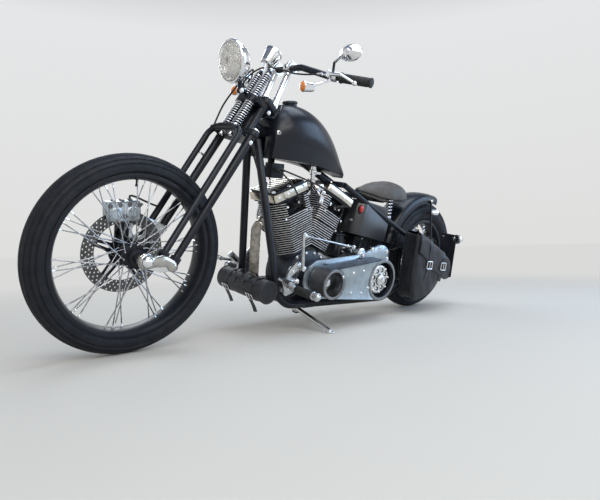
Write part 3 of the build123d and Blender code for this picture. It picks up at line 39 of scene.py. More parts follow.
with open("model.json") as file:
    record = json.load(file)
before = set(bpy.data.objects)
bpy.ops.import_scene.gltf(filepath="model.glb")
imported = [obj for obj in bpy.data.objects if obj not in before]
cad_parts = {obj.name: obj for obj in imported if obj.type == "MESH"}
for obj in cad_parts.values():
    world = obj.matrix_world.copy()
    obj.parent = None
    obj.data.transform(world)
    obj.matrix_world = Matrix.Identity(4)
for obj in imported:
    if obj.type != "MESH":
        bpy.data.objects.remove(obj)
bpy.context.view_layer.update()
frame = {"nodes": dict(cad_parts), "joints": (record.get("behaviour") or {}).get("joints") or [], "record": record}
NODES = frame["nodes"]
JOINTS = {joint["name"]: joint for joint in frame["joints"]}

# Sizes shared with the CAD source, in millimetres and degrees
LEAN = radians(11.8)
RAKE = radians(30.85)
WHEELBASE = 1705.0
FRONT_TYRE_R = 345.7
FRONT_TYRE_HALF = 52.0
REAR_TYRE_R = 305.0
REAR_TYRE_HALF = 66.0
MM = 0.001

LEFT = Vector((0, 1, 0))
RIGHT = Vector((0, -1, 0))
UP = Vector((0, 0, 1))


def axle_height(radius, crown):
    """Height of an axle on the upright machine that lets the leaned tyre just touch the ground."""
    return radius - crown + crown / cos(LEAN)


FRONT_AXLE = Vector((WHEELBASE, 0, axle_height(FRONT_TYRE_R, FRONT_TYRE_HALF)))
REAR_AXLE = Vector((0, 0, axle_height(REAR_TYRE_R, REAR_TYRE_HALF)))


def bike_matrix():
    """The upright machine's millimetres to the frame's metres, tied to the rear axle's joint."""
    turn = Matrix.Rotation(-LEAN, 4, "X")
    axle = Vector(JOINTS["rear_wheel_spin"]["pos_m"])
    return Matrix.Translation(axle - turn @ (REAR_AXLE * MM)) @ turn @ Matrix.Scale(MM, 4)


BIKE = bike_matrix()


def fork_point(s, t, y=0.0):
    """A point s along the steering axis above the front axle and t ahead of it."""
    x = FRONT_AXLE.x - s * sin(RAKE) + t * cos(RAKE)
    z = FRONT_AXLE.z + s * cos(RAKE) + t * sin(RAKE)
    return Vector((x, y, z))


FORK_UP = Vector((-sin(RAKE), 0, cos(RAKE)))
FORK_AHEAD = Vector((cos(RAKE), 0, sin(RAKE)))


# Camera, floor and light


def place_in_scene(name, data):
    """Puts new data into the scene as an object."""
    obj = bpy.data.objects.new(name, data)
    bpy.context.scene.collection.objects.link(obj)
    return obj


def camera():
    """The photograph's viewpoint: low, ahead of the machine and on its left."""
    place = Vector((1.592048, 1.539679, 0.349742))
    yaw, pitch, roll = (radians(a) for a in (-133.49, 2.59, 1.41))
    ahead = Vector((cos(yaw) * cos(pitch), sin(yaw) * cos(pitch), sin(pitch)))
    level = ahead.cross(UP).normalized()
    above = level.cross(ahead)
    right = level * cos(roll) - above * sin(roll)
    up = level * sin(roll) + above * cos(roll)
    data = bpy.data.cameras.new("camera")
    data.sensor_width = 36.0
    data.lens = 501.36 / 600 * data.sensor_width
    data.shift_y = -25 / 600
    data.clip_end = 100
    obj = place_in_scene("camera", data)
    obj.matrix_world = Matrix.Translation(place) @ Matrix((right, up, -ahead)).transposed().to_4x4()
    bpy.context.scene.camera = obj


def light(name, place, aim, size, energy, colour):
    """A rectangular lamp at a place, turned to face another."""
    data = bpy.data.lights.new(name, "AREA")
    data.shape = "RECTANGLE"
    data.size, data.size_y = size
    data.energy = energy
    data.color = colour
    obj = place_in_scene(name, data)
    obj.location = place
    obj.rotation_euler = (Vector(aim) - Vector(place)).to_track_quat("-Z", "Y").to_euler()


def node(tree, kind, inputs=None, **values):
    """A new shader node with its settings, and each input set to a value or linked to an output."""
    made = tree.nodes.new("ShaderNode" + kind)
    for key, value in values.items():
        setattr(made, key, value)
    for key, value in (inputs or {}).items():
        if isinstance(value, bpy.types.NodeSocket):
            tree.links.new(value, made.inputs[key])
        else:
            made.inputs[key].default_value = value
    return made


def ramp(tree, source, stops):
    """Maps a value from 0 to 1 through stops of position and colour."""
    made = node(tree, "ValToRGB", {0: source})
    elements = made.color_ramp.elements
    while len(elements) < len(stops):
        elements.new(0.5)
    for element, (position, colour) in zip(elements, stops):
        element.position = position
        element.color = (*colour, 1)
    return made.outputs[0]


# Where the floor begins to take the backdrop's colour, where it has it all, and that colour
FLOOR_NEAR = 1.4
FLOOR_FAR = 4.5
BACKDROP = (0.7, 0.7, 0.695, 1)
FLOOR_HALF = 60


def far_floor(tree, shader):
    """Away from the lamps the floor keeps the backdrop's colour, as camera, metal and glass see it."""
    place = node(tree, "TexCoord").outputs["Object"]
    length = node(tree, "VectorMath", {0: place}, operation="LENGTH").outputs["Value"]
    far = node(tree, "MapRange", {"Value": length, "From Min": FLOOR_NEAR, "From Max": FLOOR_FAR},
               interpolation_type="SMOOTHSTEP")
    rays = node(tree, "LightPath").outputs
    seen = rays["Is Camera Ray"]
    for kind in ("Is Glossy Ray", "Is Transmission Ray"):
        seen = node(tree, "Math", {0: seen, 1: rays[kind]}, operation="MAXIMUM").outputs[0]
    share = node(tree, "Math", {0: far.outputs[0], 1: seen}, operation="MULTIPLY")
    glow = node(tree, "Emission", {"Color": BACKDROP})
    mix = node(tree, "MixShader", {0: share.outputs[0], 1: shader.outputs[0], 2: glow.outputs[0]})
    tree.links.new(mix.outputs[0], tree.nodes["Material Output"].inputs[0])


# The sky's colour by height, from straight down to straight up: pale round the horizon, deeper above
SKY = [(-0.2, (0.4, 0.4, 0.39)), (0.0, (0.74, 0.74, 0.73)), (0.4, (0.78, 0.79, 0.8)),
       (0.66, (0.2, 0.23, 0.28)), (0.85, (0.16, 0.2, 0.27)), (1.0, (0.34, 0.42, 0.56))]

# Each lamp: name, place, what it faces, size in metres, watts and colour
LAMPS = [
    ("key", (1.6, 3.4, 3.0), (-0.1, 0, 0.5), (4.2, 2.8), 130, (1.0, 0.98, 0.95)),
    ("sky", (-0.4, 0.6, 4.2), (-0.1, 0, 0.4), (4.0, 2.4), 110, (0.78, 0.88, 1.0)),
    ("side", (-3.4, 3.0, 1.9), (-0.2, 0, 0.5), (3.0, 3.4), 120, (0.42, 0.66, 1.0)),
    ("rim", (-1.0, -3.4, 2.6), (0, 0, 0.5), (3.0, 1.6), 55, (0.9, 0.95, 1.0)),
]


def studio():
    """A pale floor, a soft sky and four broad lamps."""
    scene = bpy.context.scene
    scene.view_settings.view_transform = "Standard"
    scene.world = bpy.data.worlds.new("studio")
    scene.world.use_nodes = True
    tree = scene.world.node_tree
    tree.nodes.clear()
    height = node(tree, "SeparateXYZ", {0: node(tree, "TexCoord").outputs["Generated"]}).outputs["Z"]
    spread = node(tree, "MapRange", {"Value": height, "From Min": -1})
    sky = ramp(tree, spread.outputs[0], [((h + 1) / 2, colour) for h, colour in SKY])
    node(tree, "OutputWorld", {0: node(tree, "Background", {0: sky}).outputs[0]})
    for lamp in LAMPS:
        light(*lamp)
    mesh = bpy.data.meshes.new("floor")
    corners = [(x * FLOOR_HALF, y * FLOOR_HALF, 0) for x, y in ((-1, -1), (1, -1), (1, 1), (-1, 1))]
    mesh.from_pydata(corners, [], [(0, 1, 2, 3)])
    floor = place_in_scene("floor", mesh)
    finish = Finish("floor", (0.53, 0.5, 0.45), rough=0.85)
    far_floor(finish.tree, finish.shader)
    mesh.materials.append(finish.material)


# Materials: each is a Principled shader with its own grain, wear and bump, in the frame's metres


class Finish:
    """Builds one node material step by step."""

    def __init__(self, name, colour, metal=0.0, rough=0.5, specular=0.5, coat=0.0, coat_rough=0.1):
        self.material = bpy.data.materials.new(name)
        self.material.use_nodes = True
        self.tree = self.material.node_tree
        self.shader = self.tree.nodes["Principled BSDF"]
        self.bumps = None
        self.set({"Base Color": (*colour, 1), "Metallic": metal, "Roughness": rough,
                  "Specular IOR Level": specular, "Coat Weight": coat, "Coat Roughness": coat_rough})

    def set(self, values):
        """Puts values on the shader's inputs."""
        for key, value in values.items():
            self.shader.inputs[key].default_value = value

    def place(self, stretch=None):
        """The piece's own coordinates, stretched where a grain runs one way."""
        where = node(self.tree, "TexCoord").outputs["Object"]
        return node(self.tree, "Mapping", {0: where, "Scale": stretch}).outputs[0] if stretch else where

    def noise(self, scale, detail=4.0, rough=0.5, stretch=None):
        """A cloudy value from 0 to 1."""
        made = node(self.tree, "TexNoise", {"Vector": self.place(stretch), "Scale": scale,
                                            "Detail": detail, "Roughness": rough})
        return made.outputs["Fac"]

    def tint(self, grain, low, high, start=0.35, end=0.65):
        """A colour that runs between two over a noise."""
        colour = ramp(self.tree, self.noise(*grain), [(start, low), (end, high)])
        self.tree.links.new(colour, self.shader.inputs["Base Color"])

    def gloss(self, grain, low, high):
        """A roughness that runs between two values over a noise."""
        made = node(self.tree, "MapRange", {"Value": self.noise(*grain), "From Min": 0.3, "From Max": 0.7,
                                            "To Min": low, "To Max": high})
        self.tree.links.new(made.outputs[0], self.shader.inputs["Roughness"])

    def bump(self, source, distance, strength):
        """Raises the surface by a source, on top of the bumps it has."""
        made = node(self.tree, "Bump", {"Height": source, "Distance": distance, "Strength": strength})
        if self.bumps is not None:
            self.tree.links.new(self.bumps, made.inputs["Normal"])
        self.bumps = made.outputs[0]
        self.tree.links.new(self.bumps, self.shader.inputs["Normal"])

    def cells(self, scale, feature, distance, strength):
        """Bumps from small cells."""
        made = node(self.tree, "TexVoronoi", {"Vector": self.place(), "Scale": scale}, feature=feature)
        self.bump(made.outputs["Distance"], distance, strength)


# Grained finishes. Each row: colour, metal, roughness and specular; the tint's noise, its low and high
# colour and, if not the usual ones, where it starts and ends; the gloss's noise with its low and high
# roughness; the bump's noise with its depth in metres and its strength
GRAINED = {
    # Black paint whose blue cast is a painted reflection of the blue sky; black_anodised takes the same colours.
    "satin_black_paint": (
        (0.006, 0.008, 0.013), 0, 0.36, 0.3,
        ((9, 6, 0.6), (0.005, 0.0065, 0.011), (0.010, 0.012, 0.017)),
        ((14, 5), 0.28, 0.42), ((900, 2), 0.0002, 0.05)),
    # Black paint whose blue cast is a painted reflection of the blue sky.
    "tank_black": (
        (0.005, 0.007, 0.013), 0, 0.30, 0.36,
        ((6, 6, 0.6), (0.0045, 0.006, 0.011), (0.007, 0.009, 0.015)),
        ((11, 5), 0.25, 0.36), ((1100, 2), 0.0002, 0.04)),
    "black_engine_enamel": (
        (0.007, 0.008, 0.010), 0, 0.5, 0.3,
        ((60, 5), (0.005, 0.006, 0.008), (0.012, 0.013, 0.015)),
        ((40, 4), 0.42, 0.6), ((420, 6, 0.7), 0.0008, 0.35)),
    # Dark enamel whose blue cast is a painted reflection of the blue sky.
    "case_enamel": (
        (0.012, 0.016, 0.026), 0, 0.42, 0.55,
        ((30, 6, 0.6), (0.009, 0.012, 0.02), (0.024, 0.03, 0.044)),
        ((26, 5), 0.3, 0.55), ((420, 6, 0.7), 0.0006, 0.25)),
    "oil_tank_black": (
        (0.012, 0.013, 0.016), 0, 0.38, 0.75,
        ((8, 6, 0.6), (0.010, 0.011, 0.014), (0.02, 0.021, 0.023)),
        ((12, 5), 0.33, 0.42)),
    "chrome": (
        (0.82, 0.83, 0.85), 1, 0.07, 0.5,
        ((7, 5), (0.74, 0.745, 0.76), (0.88, 0.885, 0.9)),
        ((22, 6, 0.65), 0.04, 0.15), ((30, 2), 0.0001, 0.01)),
    "polished_aluminium": (
        (0.72, 0.72, 0.7128), 1, 0.2, 0.5,
        ((16, 6, 0.6), (0.576, 0.576, 0.5688), (0.792, 0.792, 0.792)),
        ((30, 6, 0.6, (1, 1, 6)), 0.12, 0.28), ((300, 3, 0.6, (1, 1, 0.12)), 0.0001, 0.02)),
    "steel": (
        (0.42, 0.42, 0.42), 1, 0.3, 0.5,
        ((45, 6, 0.6), (0.3, 0.3, 0.29), (0.5, 0.5, 0.49)),
        ((80, 5), 0.24, 0.42), ((1500, 2), 0.0002, 0.08)),
    "fin_edge": (
        (0.8, 0.8, 0.79), 0.75, 0.34, 0.5,
        ((90, 6, 0.7), (0.5, 0.5, 0.5), (0.9, 0.89, 0.87), 0.38, 0.55),
        ((160, 4), 0.26, 0.45)),
    "black_rubber": (
        (0.014, 0.014, 0.014), 0, 0.62, 0.4,
        ((50, 5), (0.011, 0.011, 0.011), (0.026, 0.026, 0.025)),
        ((90, 4), 0.52, 0.72), ((1800, 3), 0.0003, 0.12)),
    # Black rubber whose blue cast is a painted reflection of the blue sky.
    "tyre_rubber": (
        (0.007, 0.009, 0.013), 0, 0.6, 0.25,
        ((28, 7, 0.65), (0.005, 0.0065, 0.0105), (0.012, 0.0135, 0.018)),
        ((60, 5), 0.5, 0.7), ((1500, 4), 0.0003, 0.15)),
    # Dark rubber made lighter and bluer: a painted blue sheen.
    "belt_rubber": (
        (0.018, 0.019, 0.022), 0, 0.42, 0.6,
        ((40, 5), (0.014, 0.015, 0.018), (0.03, 0.032, 0.038)),
        ((120, 4), 0.34, 0.5), ((1600, 3), 0.0002, 0.1)),
    "exhaust_wrap": (
        (0.3, 0.275, 0.24), 0, 0.85, 0.2,
        ((55, 8, 0.7), (0.19, 0.17, 0.15), (0.5, 0.46, 0.41)),
        None, ((1300, 3), 0.0006, 0.6)),
}
GRAINED["spring_steel"] = GRAINED["steel"]
GRAINED["black_anodised"] = GRAINED["satin_black_paint"]

# Plain metals: colour, roughness and how far the roughness varies
METALS = {
    "spring_chrome": ((0.72, 0.73, 0.76), 0.14, 0.06),
    "reflector": ((0.86, 0.87, 0.9), 0.12, 0.04),
    "mirror": ((0.8, 0.82, 0.85), 0.03, 0.02),
    "dark_steel": ((0.2, 0.2, 0.21), 0.34, 0.06),
    "warm_aluminium": ((0.66, 0.61, 0.52), 0.22, 0.06),
    "satin_alloy": ((0.52, 0.58, 0.62), 0.32, 0.05),
    "nickel": ((0.5, 0.49, 0.46), 0.1, 0.04),
    "disc_steel": ((0.13, 0.13, 0.132), 0.34, 0.06),
    "spoke_steel": ((0.46, 0.47, 0.49), 0.26, 0.05),
    "turned_steel": ((0.27, 0.28, 0.29), 0.32, 0.07),
    "cast_aluminium": ((0.42, 0.43, 0.44), 0.34, 0.08),
    "worn_aluminium": ((0.55, 0.56, 0.57), 0.24, 0.09),
    # Bare metal whose pale blue tint is a painted reflection of the blue sky.
    "guard_plate": ((0.44, 0.51, 0.56), 0.34, 0.05),
}

# Plain paints and thread: colour and roughness
PAINTS = {
    "dial_white": ((0.78, 0.79, 0.78), 0.4),
    "dial_black": ((0.03, 0.03, 0.03), 0.4),
    "dial_red": ((0.6, 0.04, 0.03), 0.4),
    "thread": ((0.16, 0.14, 0.12), 0.7),
}


def grained(name, colour, metal, rough, specular, tint, gloss=None, bump=None):
    """A finish with one noise for its colour, one for its gloss and one for its fine bumps."""
    f = Finish(name, colour, metal, rough, specular)
    f.tint(*tint)
    if gloss:
        f.gloss(*gloss)
    if bump:
        f.bump(f.noise(*bump[0]), *bump[1:])
    return f.material


def scaled(colour, share):
    """A colour made darker or lighter, but no lighter than white."""
    return tuple(min(c * share, 1) for c in colour)


def leather(name, dark, pale, rough=(0.42, 0.6)):
    """Leather: pebbled grain from small cells over broad creases."""
    f = Finish(name, dark, specular=0.45)
    f.tint((14, 6, 0.6), dark, pale)
    f.gloss((35, 5), *rough)
    f.cells(520, "SMOOTH_F1", 0.0006, 0.45)
    f.bump(f.noise(45, 5), 0.002, 0.25)
    return f.material


def blued_steel():
    """Chrome that heat has turned straw and blue in patches."""
    f = Finish("blued_steel", (0.7, 0.68, 0.66), 1, 0.14)
    stops = [(0.3, (0.62, 0.63, 0.66)), (0.5, (0.72, 0.66, 0.56)), (0.7, (0.5, 0.52, 0.62))]
    f.tree.links.new(ramp(f.tree, f.noise(24, 4), stops), f.shader.inputs["Base Color"])
    f.gloss((50, 5), 0.08, 0.22)
    return f.material


def lens(name, colour, through):
    """A coloured plastic lens with a moulded diamond pattern behind its smooth face."""
    f = Finish(name, colour, rough=0.12, coat=0.6, coat_rough=0.04)
    f.set({"Transmission Weight": through, "IOR": 1.49})
    f.cells(260, "F1", 0.001, 0.35)
    f.gloss((60, 3), 0.08, 0.2)
    return f.material


def fluted_glass():
    """The lamp's glass: upright flutes that scatter the view of the bowl, with a warm cast."""
    f = Finish("fluted_glass", (1.0, 0.985, 0.94), rough=0.16, coat=0.7, coat_rough=0.03)
    f.set({"Transmission Weight": 0.72, "IOR": 1.4})
    flutes = node(f.tree, "TexWave", {"Vector": f.place(), "Scale": 42, "Distortion": 0.6},
                  bands_direction="Y")
    f.bump(flutes.outputs["Fac"], 0.0012, 0.3)
    f.gloss((30, 4), 0.1, 0.2)
    return f.material


FINISHES = {
    "brown_leather": leather("brown_leather", (0.05, 0.045, 0.04), (0.095, 0.086, 0.076)),
    # Black leather whose blue cast is a painted blue sheen.
    "black_leather": leather("black_leather", (0.005, 0.006, 0.009), (0.012, 0.0135, 0.018), (0.34, 0.5)),
    "blued_steel": blued_steel(),
    "warm_glass": lens("warm_glass", (0.95, 0.88, 0.72), 0.5),
    "amber_lens": lens("amber_lens", (0.9, 0.27, 0.04), 0.3),
    "red_lens": lens("red_lens", (0.62, 0.03, 0.03), 0.35),
    "clear_glass": fluted_glass(),
}
for name, row in GRAINED.items():
    FINISHES[name] = grained(name, *row)
for name, (colour, rough, spread) in METALS.items():
    FINISHES[name] = grained(
        name, colour, 1, rough, 0.5, ((24, 5), scaled(colour, 0.82), scaled(colour, 1.12)),
        ((60, 4), rough - spread, rough + spread), ((1200, 2), 0.0002, 0.04))
for name, (colour, rough) in PAINTS.items():
    FINISHES[name] = grained(
        name, colour, 0, rough, 0.5, ((80, 4), scaled(colour, 0.9), scaled(colour, 1.1)),
        ((120, 3), rough - 0.05, rough + 0.08))

TURN = 2 * pi
CRANK = Vector((921.0, 0.0, 246.0))
CLUTCH = Vector((597.0, 0.0, 245.0))
V_ANGLE = radians(22.5)
# Half the width of a cylinder's and a head's fins, across the machine
CYLINDER_HALF = 81.0
HEAD_HALF = 88.0
MIRROR = fork_point(981.6, -104.4, 350)

# Nodes whose look isn't their slot's own
DRESSED = {
    "fuel_tank": "tank_black", "oil_tank": "oil_tank_black", "gearbox": "cast_aluminium",
    "motor_plate": "guard_plate", "foot_controls": "worn_aluminium", "brake_controls": "worn_aluminium",
    "crankcase": "case_enamel", "front_spokes": "spoke_steel", "rear_spokes": "spoke_steel",
    "side_stand": "polished_aluminium", "front_caliper": "worn_aluminium",
}


def cylinder_ways(outer):
    """Ahead and up in a cylinder's own frame: outer is 1 for the front one and -1 for the rear one."""
    a = V_ANGLE * outer
    return Vector((cos(a), 0, -sin(a))), Vector((sin(a), 0, cos(a)))


def paint_faces(node, finishes, rule):
    """Gives each face of a CAD node the finish that a rule picks from its place and direction."""
    mesh = NODES[node].data
    mesh.materials.clear()
    for finish in finishes:
        mesh.materials.append(FINISHES[finish])
    back = BIKE.inverted()
    turn = BIKE.to_3x3().normalized().inverted()
    for face in mesh.polygons:
        face.material_index = rule(back @ face.center, turn @ face.normal)


def fin_rule(outer, half_y):
    """Picks out the rims of a cylinder's or a head's fins."""
    ahead, above = cylinder_ways(outer)

    def rule(place, normal):
        if abs(normal.dot(above)) > 0.5:
            return 0
        x, y = abs((place - CRANK).dot(ahead)), abs(place.y)
        return 1 if x > 86 or y > half_y - 4 or x + y > 88 + half_y - 42 else 0

    return rule


def rocker_rule(outer):
    """Picks out the polished band between a rocker box's foot and lid."""
    above = cylinder_ways(outer)[1]

    def rule(place, normal):
        height = (place - CRANK).dot(above)
        side = abs(normal.dot(above)) < 0.7
        return 0 if (376.5 < height < 407.5) == side and height > 376.5 else 1

    return rule


def pulley_rule(place, normal):
    """Dark turned rims and bowls, and a bright pressure plate in the clutch."""
    clutch = hypot(place.x - CLUTCH.x, place.z - CLUTCH.z)
    if clutch > 110:
        return 0
    if clutch < 71 and place.y > 222 and (normal.y > 0.5 or clutch > 62 or clutch < 30):
        return 1
    return 0 if clutch > 86 else 2


def mirror_rule(place, _):
    """The mirrors' heads stay bright on dark stems."""
    return 0 if (Vector((place.x, abs(place.y), place.z)) - MIRROR).length < 50 else 1


def dress_nodes():
    """Every CAD node takes the finish that its slot in the record names, and soft edges."""
    for part in frame["record"]["subparts"]:
        node = NODES[part["node"]]
        node.data.materials.clear()
        node.data.materials.append(FINISHES[part["material_slot"]])
        node.data.polygons.foreach_set("material_index", [0] * len(node.data.polygons))
    for side, outer in (("front", 1), ("rear", -1)):
        for part, half_y in (("_cylinder", CYLINDER_HALF), ("_head", HEAD_HALF)):
            paint_faces(side + part, ("black_engine_enamel", "fin_edge"), fin_rule(outer, half_y))
        paint_faces(side + "_rocker_box", ("warm_aluminium", "satin_black_paint"), rocker_rule(outer))
    paint_faces("primary_pulleys", ("turned_steel", "polished_aluminium", "satin_black_paint"),
                pulley_rule)
    paint_faces("mirrors", ("chrome", "satin_black_paint"), mirror_rule)
    for name, finish in DRESSED.items():
        NODES[name].data.materials[0] = FINISHES[finish]
    for part in frame["record"]["subparts"]:
        node = NODES[part["node"]]
        node.data.polygons.foreach_set("use_smooth", [True] * len(node.data.polygons))
        weld = node.modifiers.new("weld", "WELD")
        weld.merge_threshold = 0.00002
        edges = node.modifiers.new("edges", "BEVEL")
        edges.width = 0.0007
        edges.segments = 2
        edges.limit_method = "ANGLE"
        edges.angle_limit = radians(38)
        edges.harden_normals = True


# Building pieces


def side_way(a):
    """The direction at an angle from ahead, in the machine's side view."""
    return Vector((cos(a), 0, sin(a)))


def turns(count, start=0.0):
    """Evenly spaced angles round a circle."""
    return [start + TURN * n / count for n in range(count)]


def basis(axis):
    """Two directions across an axis, and the axis itself."""
    along = Vector(axis).normalized()
    side = LEFT if abs(along.y) < 0.9 else Vector((1, 0, 0))
    first = side.cross(along).normalized()
    return first, along.cross(first), along


def way_at(line, n):
    """The direction of a line at its nth point."""
    return (line[min(n + 1, len(line) - 1)] - line[max(n - 1, 0)]).normalized()


def curved(points, steps=8):
    """A smooth line through a few chosen points, as a Catmull-Rom curve."""
    p = [Vector(v) for v in points]
    p = [p[0] * 2 - p[1]] + p + [p[-1] * 2 - p[-2]]
    line = []
    for a, b, c, d in zip(p, p[1:], p[2:], p[3:]):
        for n in range(steps):
            t = n / steps
            line.append(0.5 * (2 * b + (c - a) * t + (2 * a - 5 * b + 4 * c - d) * t * t
                               + (3 * b - a - 3 * c + d) * t ** 3))
    return line + [p[-2]]


def rounded(points, radius, step=4.0):
    """Straight runs joined by arcs, sampled about every step."""
    p = [Vector(v) for v in points]
    line = [p[0]]
    for a, b, c in zip(p, p[1:], p[2:]):
        back, on = (a - b).normalized(), (c - b).normalized()
        half = back.angle(on) / 2
        reach = min(radius / tan(half), 0.42 * (a - b).length, 0.42 * (c - b).length)
        count = max(4, int(reach * 2 / step))
        for n in range(count + 1):
            t = n / count
            start, end = b + back * reach, b + on * reach
            line.append(start * (1 - t) ** 2 + b * 2 * t * (1 - t) + end * t * t)
    line.append(p[-1])
    out = [line[0]]
    for a, b in zip(line, line[1:]):
        count = max(1, round((b - a).length / step))
        out += [a.lerp(b, n / count) for n in range(1, count + 1)]
    return out


class Shape:
    """Collects the surfaces of one piece, on the upright machine in millimetres."""

    def __init__(self):
        self.points = []
        self.faces = []
        self.finish = []

    def add(self, points, faces, finish=0):
        """Takes in points and faces; finish is the place of the face's look in the piece's list."""
        start = len(self.points)
        self.points += [Vector(p) for p in points]
        self.faces += [[start + n for n in face] for face in faces]
        self.finish += [finish] * len(faces)

    def rings(self, rings, finish=0, closed=False, caps=True):
        """A skin over rings of equally many points, with flat ends unless it closes on itself."""
        count = len(rings[0])
        points = [p for ring in rings for p in ring]
        faces = []
        last = len(rings) if closed else len(rings) - 1
        for a in range(last):
            b = (a + 1) % len(rings)
            for n in range(count):
                m = (n + 1) % count
                faces.append([a * count + n, a * count + m, b * count + m, b * count + n])
        if caps and not closed:
            faces.append(list(range(count))[::-1])
            faces.append([(len(rings) - 1) * count + n for n in range(count)])
        self.add(points, faces, finish)

    def tube(self, line, radius, finish=0, sides=10, closed=False):
        """A round tube along a line, its radius one number or one for each point."""
        line = [Vector(p) for p in line]
        radii = radius if isinstance(radius, (list, tuple)) else [radius] * len(line)
        rings = []
        across = None
        for n, point in enumerate(line):
            before = line[n - 1] if n or closed else point
            after = line[(n + 1) % len(line)] if n + 1 < len(line) or closed else point
            along = (after - before).normalized()
            if across is None:
                across = basis(along)[0]
            across = (across - along * across.dot(along)).normalized()
            up = along.cross(across)
            rings.append([point + (across * cos(a) + up * sin(a)) * radii[n] for a in turns(sides)])
        self.rings(rings, finish, closed)

    def rod(self, a, b, radius, finish=0, end=None, sides=16):
        """A straight rod, tapering if its end has another radius."""
        self.tube([a, b], [radius, radius if end is None else end], finish, sides)

    def lathe(self, outline, at, axis, finish=0, sides=32, closed=False, caps=True):
        """A turned form from points of radius and height along an axis."""
        first, second, along = basis(axis)
        at = Vector(at)
        rings = []
        for r, h in outline:
            rings.append([at + along * h + (first * cos(a) + second * sin(a)) * max(r, 0.01)
                          for a in turns(sides)])
        self.rings(rings, finish, closed, caps)

    def block(self, centre, size, along=(1, 0, 0), up=UP, finish=0, edge=1.0):
        """A box with bevelled edges, its length along one direction and its height up another."""
        x = Vector(along).normalized()
        z = (Vector(up) - x * Vector(up).dot(x)).normalized()
        y = z.cross(x)
        a, b, c = (v / 2 for v in size)
        e = min(edge, 0.45 * min(a, b, c) * 2)
        rings = []
        for height, inset in ((-c, e), (e - c, 0), (c - e, 0), (c, e)):
            p, q = a - inset, b - inset
            k = e * 0.6
            ring = [(p, k - q), (p, q - k), (p - k, q), (k - p, q), (-p, q - k), (-p, k - q), (k - p, -q),
                    (p - k, -q)]
            rings.append([Vector(centre) + x * u + y * v + z * height for u, v in ring])
        self.rings(rings, finish)

    def bolt(self, at, axis, r, h, socket=False):
        """A bolt head of radius r and height h on its washer: a hexagon, or round with a socket."""
        along = Vector(axis).normalized()
        self.lathe([(r * 1.35, -0.5), (r * 1.35, 0.8), (r * 1.2, 1.1)], at, along, 0, 20)
        s = r * 0.55
        if socket:
            self.lathe([(r, 1), (r, h - 0.6), (r - 0.6, h), (s, h), (s, h * 0.35), (0, h * 0.35)], at,
                       along, 0, 18)
        else:
            self.lathe([(r, 1), (r, h - 0.6), (r * 0.85, h), (0, h)], at, along, 0, 6)

    def screw(self, at, axis, r, h):
        """A round head with a socket."""
        self.bolt(at, axis, r, h, socket=True)

    def make(self, name, body, *finishes, sharp=38.0, slot=None, replaces=(), solid=0.0, levels=0):
        """Turns the shape into a piece, in the frame's metres, riding on its body unless that is None."""
        mesh = bpy.data.meshes.new(name)
        mesh.from_pydata([BIKE @ p for p in self.points], [], self.faces)
        for finish in finishes:
            mesh.materials.append(FINISHES[finish])
        mesh.polygons.foreach_set("material_index", self.finish)
        tidy = bmesh.new()
        tidy.from_mesh(mesh)
        bmesh.ops.recalc_face_normals(tidy, faces=tidy.faces)
        tidy.to_mesh(mesh)
        tidy.free()
        mesh.polygons.foreach_set("use_smooth", [True] * len(mesh.polygons))
        mesh.set_sharp_from_angle(angle=radians(sharp))
        piece = place_in_scene(name, mesh)
        if solid:
            thick = piece.modifiers.new("thickness", "SOLIDIFY")
            thick.thickness = solid * MM
            thick.offset = 0
        if levels:
            fine = piece.modifiers.new("fine", "SUBSURF")
            fine.levels = fine.render_levels = levels
        if body:
            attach(piece, body)
        slot or finishes[0]
        if replaces:
            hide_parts(*replaces)
        return piece


def ring_of(count, radius, x, y, z, start=0.0):
    """Places round a circle that lies along the machine."""
    for n in range(count):
        yield Vector((x, y, z)) + side_way(radians(start + n * 360 / count)) * radius


# Wheels

# One wheel: its body, axle, tyre radius and half width, bead radius, rim half width, well radius,
# hub flange radius and its Y, the spokes' Y at the rim and the disc's Y
Wheel = collections.namedtuple(
    "Wheel", "body axle radius half bead rim_half well flange flange_y rim_y disc_y")
WHEELS = {
    "front": Wheel("front_wheel", FRONT_AXLE, FRONT_TYRE_R, FRONT_TYRE_HALF,
                   273.0, 40.0, 259.0, 44.0, 30.0, 8.0, -62.0),
    "rear": Wheel("rear_wheel", REAR_AXLE, REAR_TYRE_R, REAR_TYRE_HALF,
                  190.5, 46.0, 176.0, 52.0, 44.0, 14.0, -84.0),
}
SPOKES_A_SIDE = 20
SPOKE_CROSSING = 48.0
SPOKE_R = 2.1

# Grooves round the crown, as shares of the way from its middle to its shoulder
GROOVES = ((0.10, 0.17), (0.40, 0.46), (0.70, 0.76), (0.98, 1.03))
GROOVE_DEPTH = 3.2
TYRE_STEPS = 180


def tyre(name):
    """A ribbed tyre: grooves round its crown, fine wall lines and a bead."""
    wheel = WHEELS[name]
    half = wheel.half
    wall = wheel.radius - half
    seat = wheel.bead + 9
    section = []
    count = 56
    for n in range(count + 1):
        a = pi * (n / count - 0.5)
        section.append((wall + half * cos(a), half * sin(a), a))
    left = []
    for n in range(1, 13):
        t = n / 12
        r = wall + (seat - wall) * t
        bulge = sin(t * pi) * half * 0.035
        y = half + (wheel.rim_half - half) * t ** 1.6 + bulge
        if n in (2, 3, 5, 8, 9):
            y -= 0.9
        left.append((r, y, 9.0))
    outline = [(r, -y, k) for r, y, k in reversed(left)] + section + left
    grooved = []
    for r, y, a in outline:
        share = abs(a) / 1.2
        if any(low < share < high for low, high in GROOVES):
            r, y = r - GROOVE_DEPTH * cos(a), y - GROOVE_DEPTH * sin(a)
        grooved.append((r, y))
    shape = Shape()
    rings = [[wheel.axle + side_way(turn) * r + LEFT * y for r, y in grooved]
             for turn in turns(TYRE_STEPS)]
    shape.rings(rings, closed=True)
    shape.make(name + "_tyre_tread", wheel.body, "tyre_rubber", sharp=34, replaces=[name + "_tyre"])


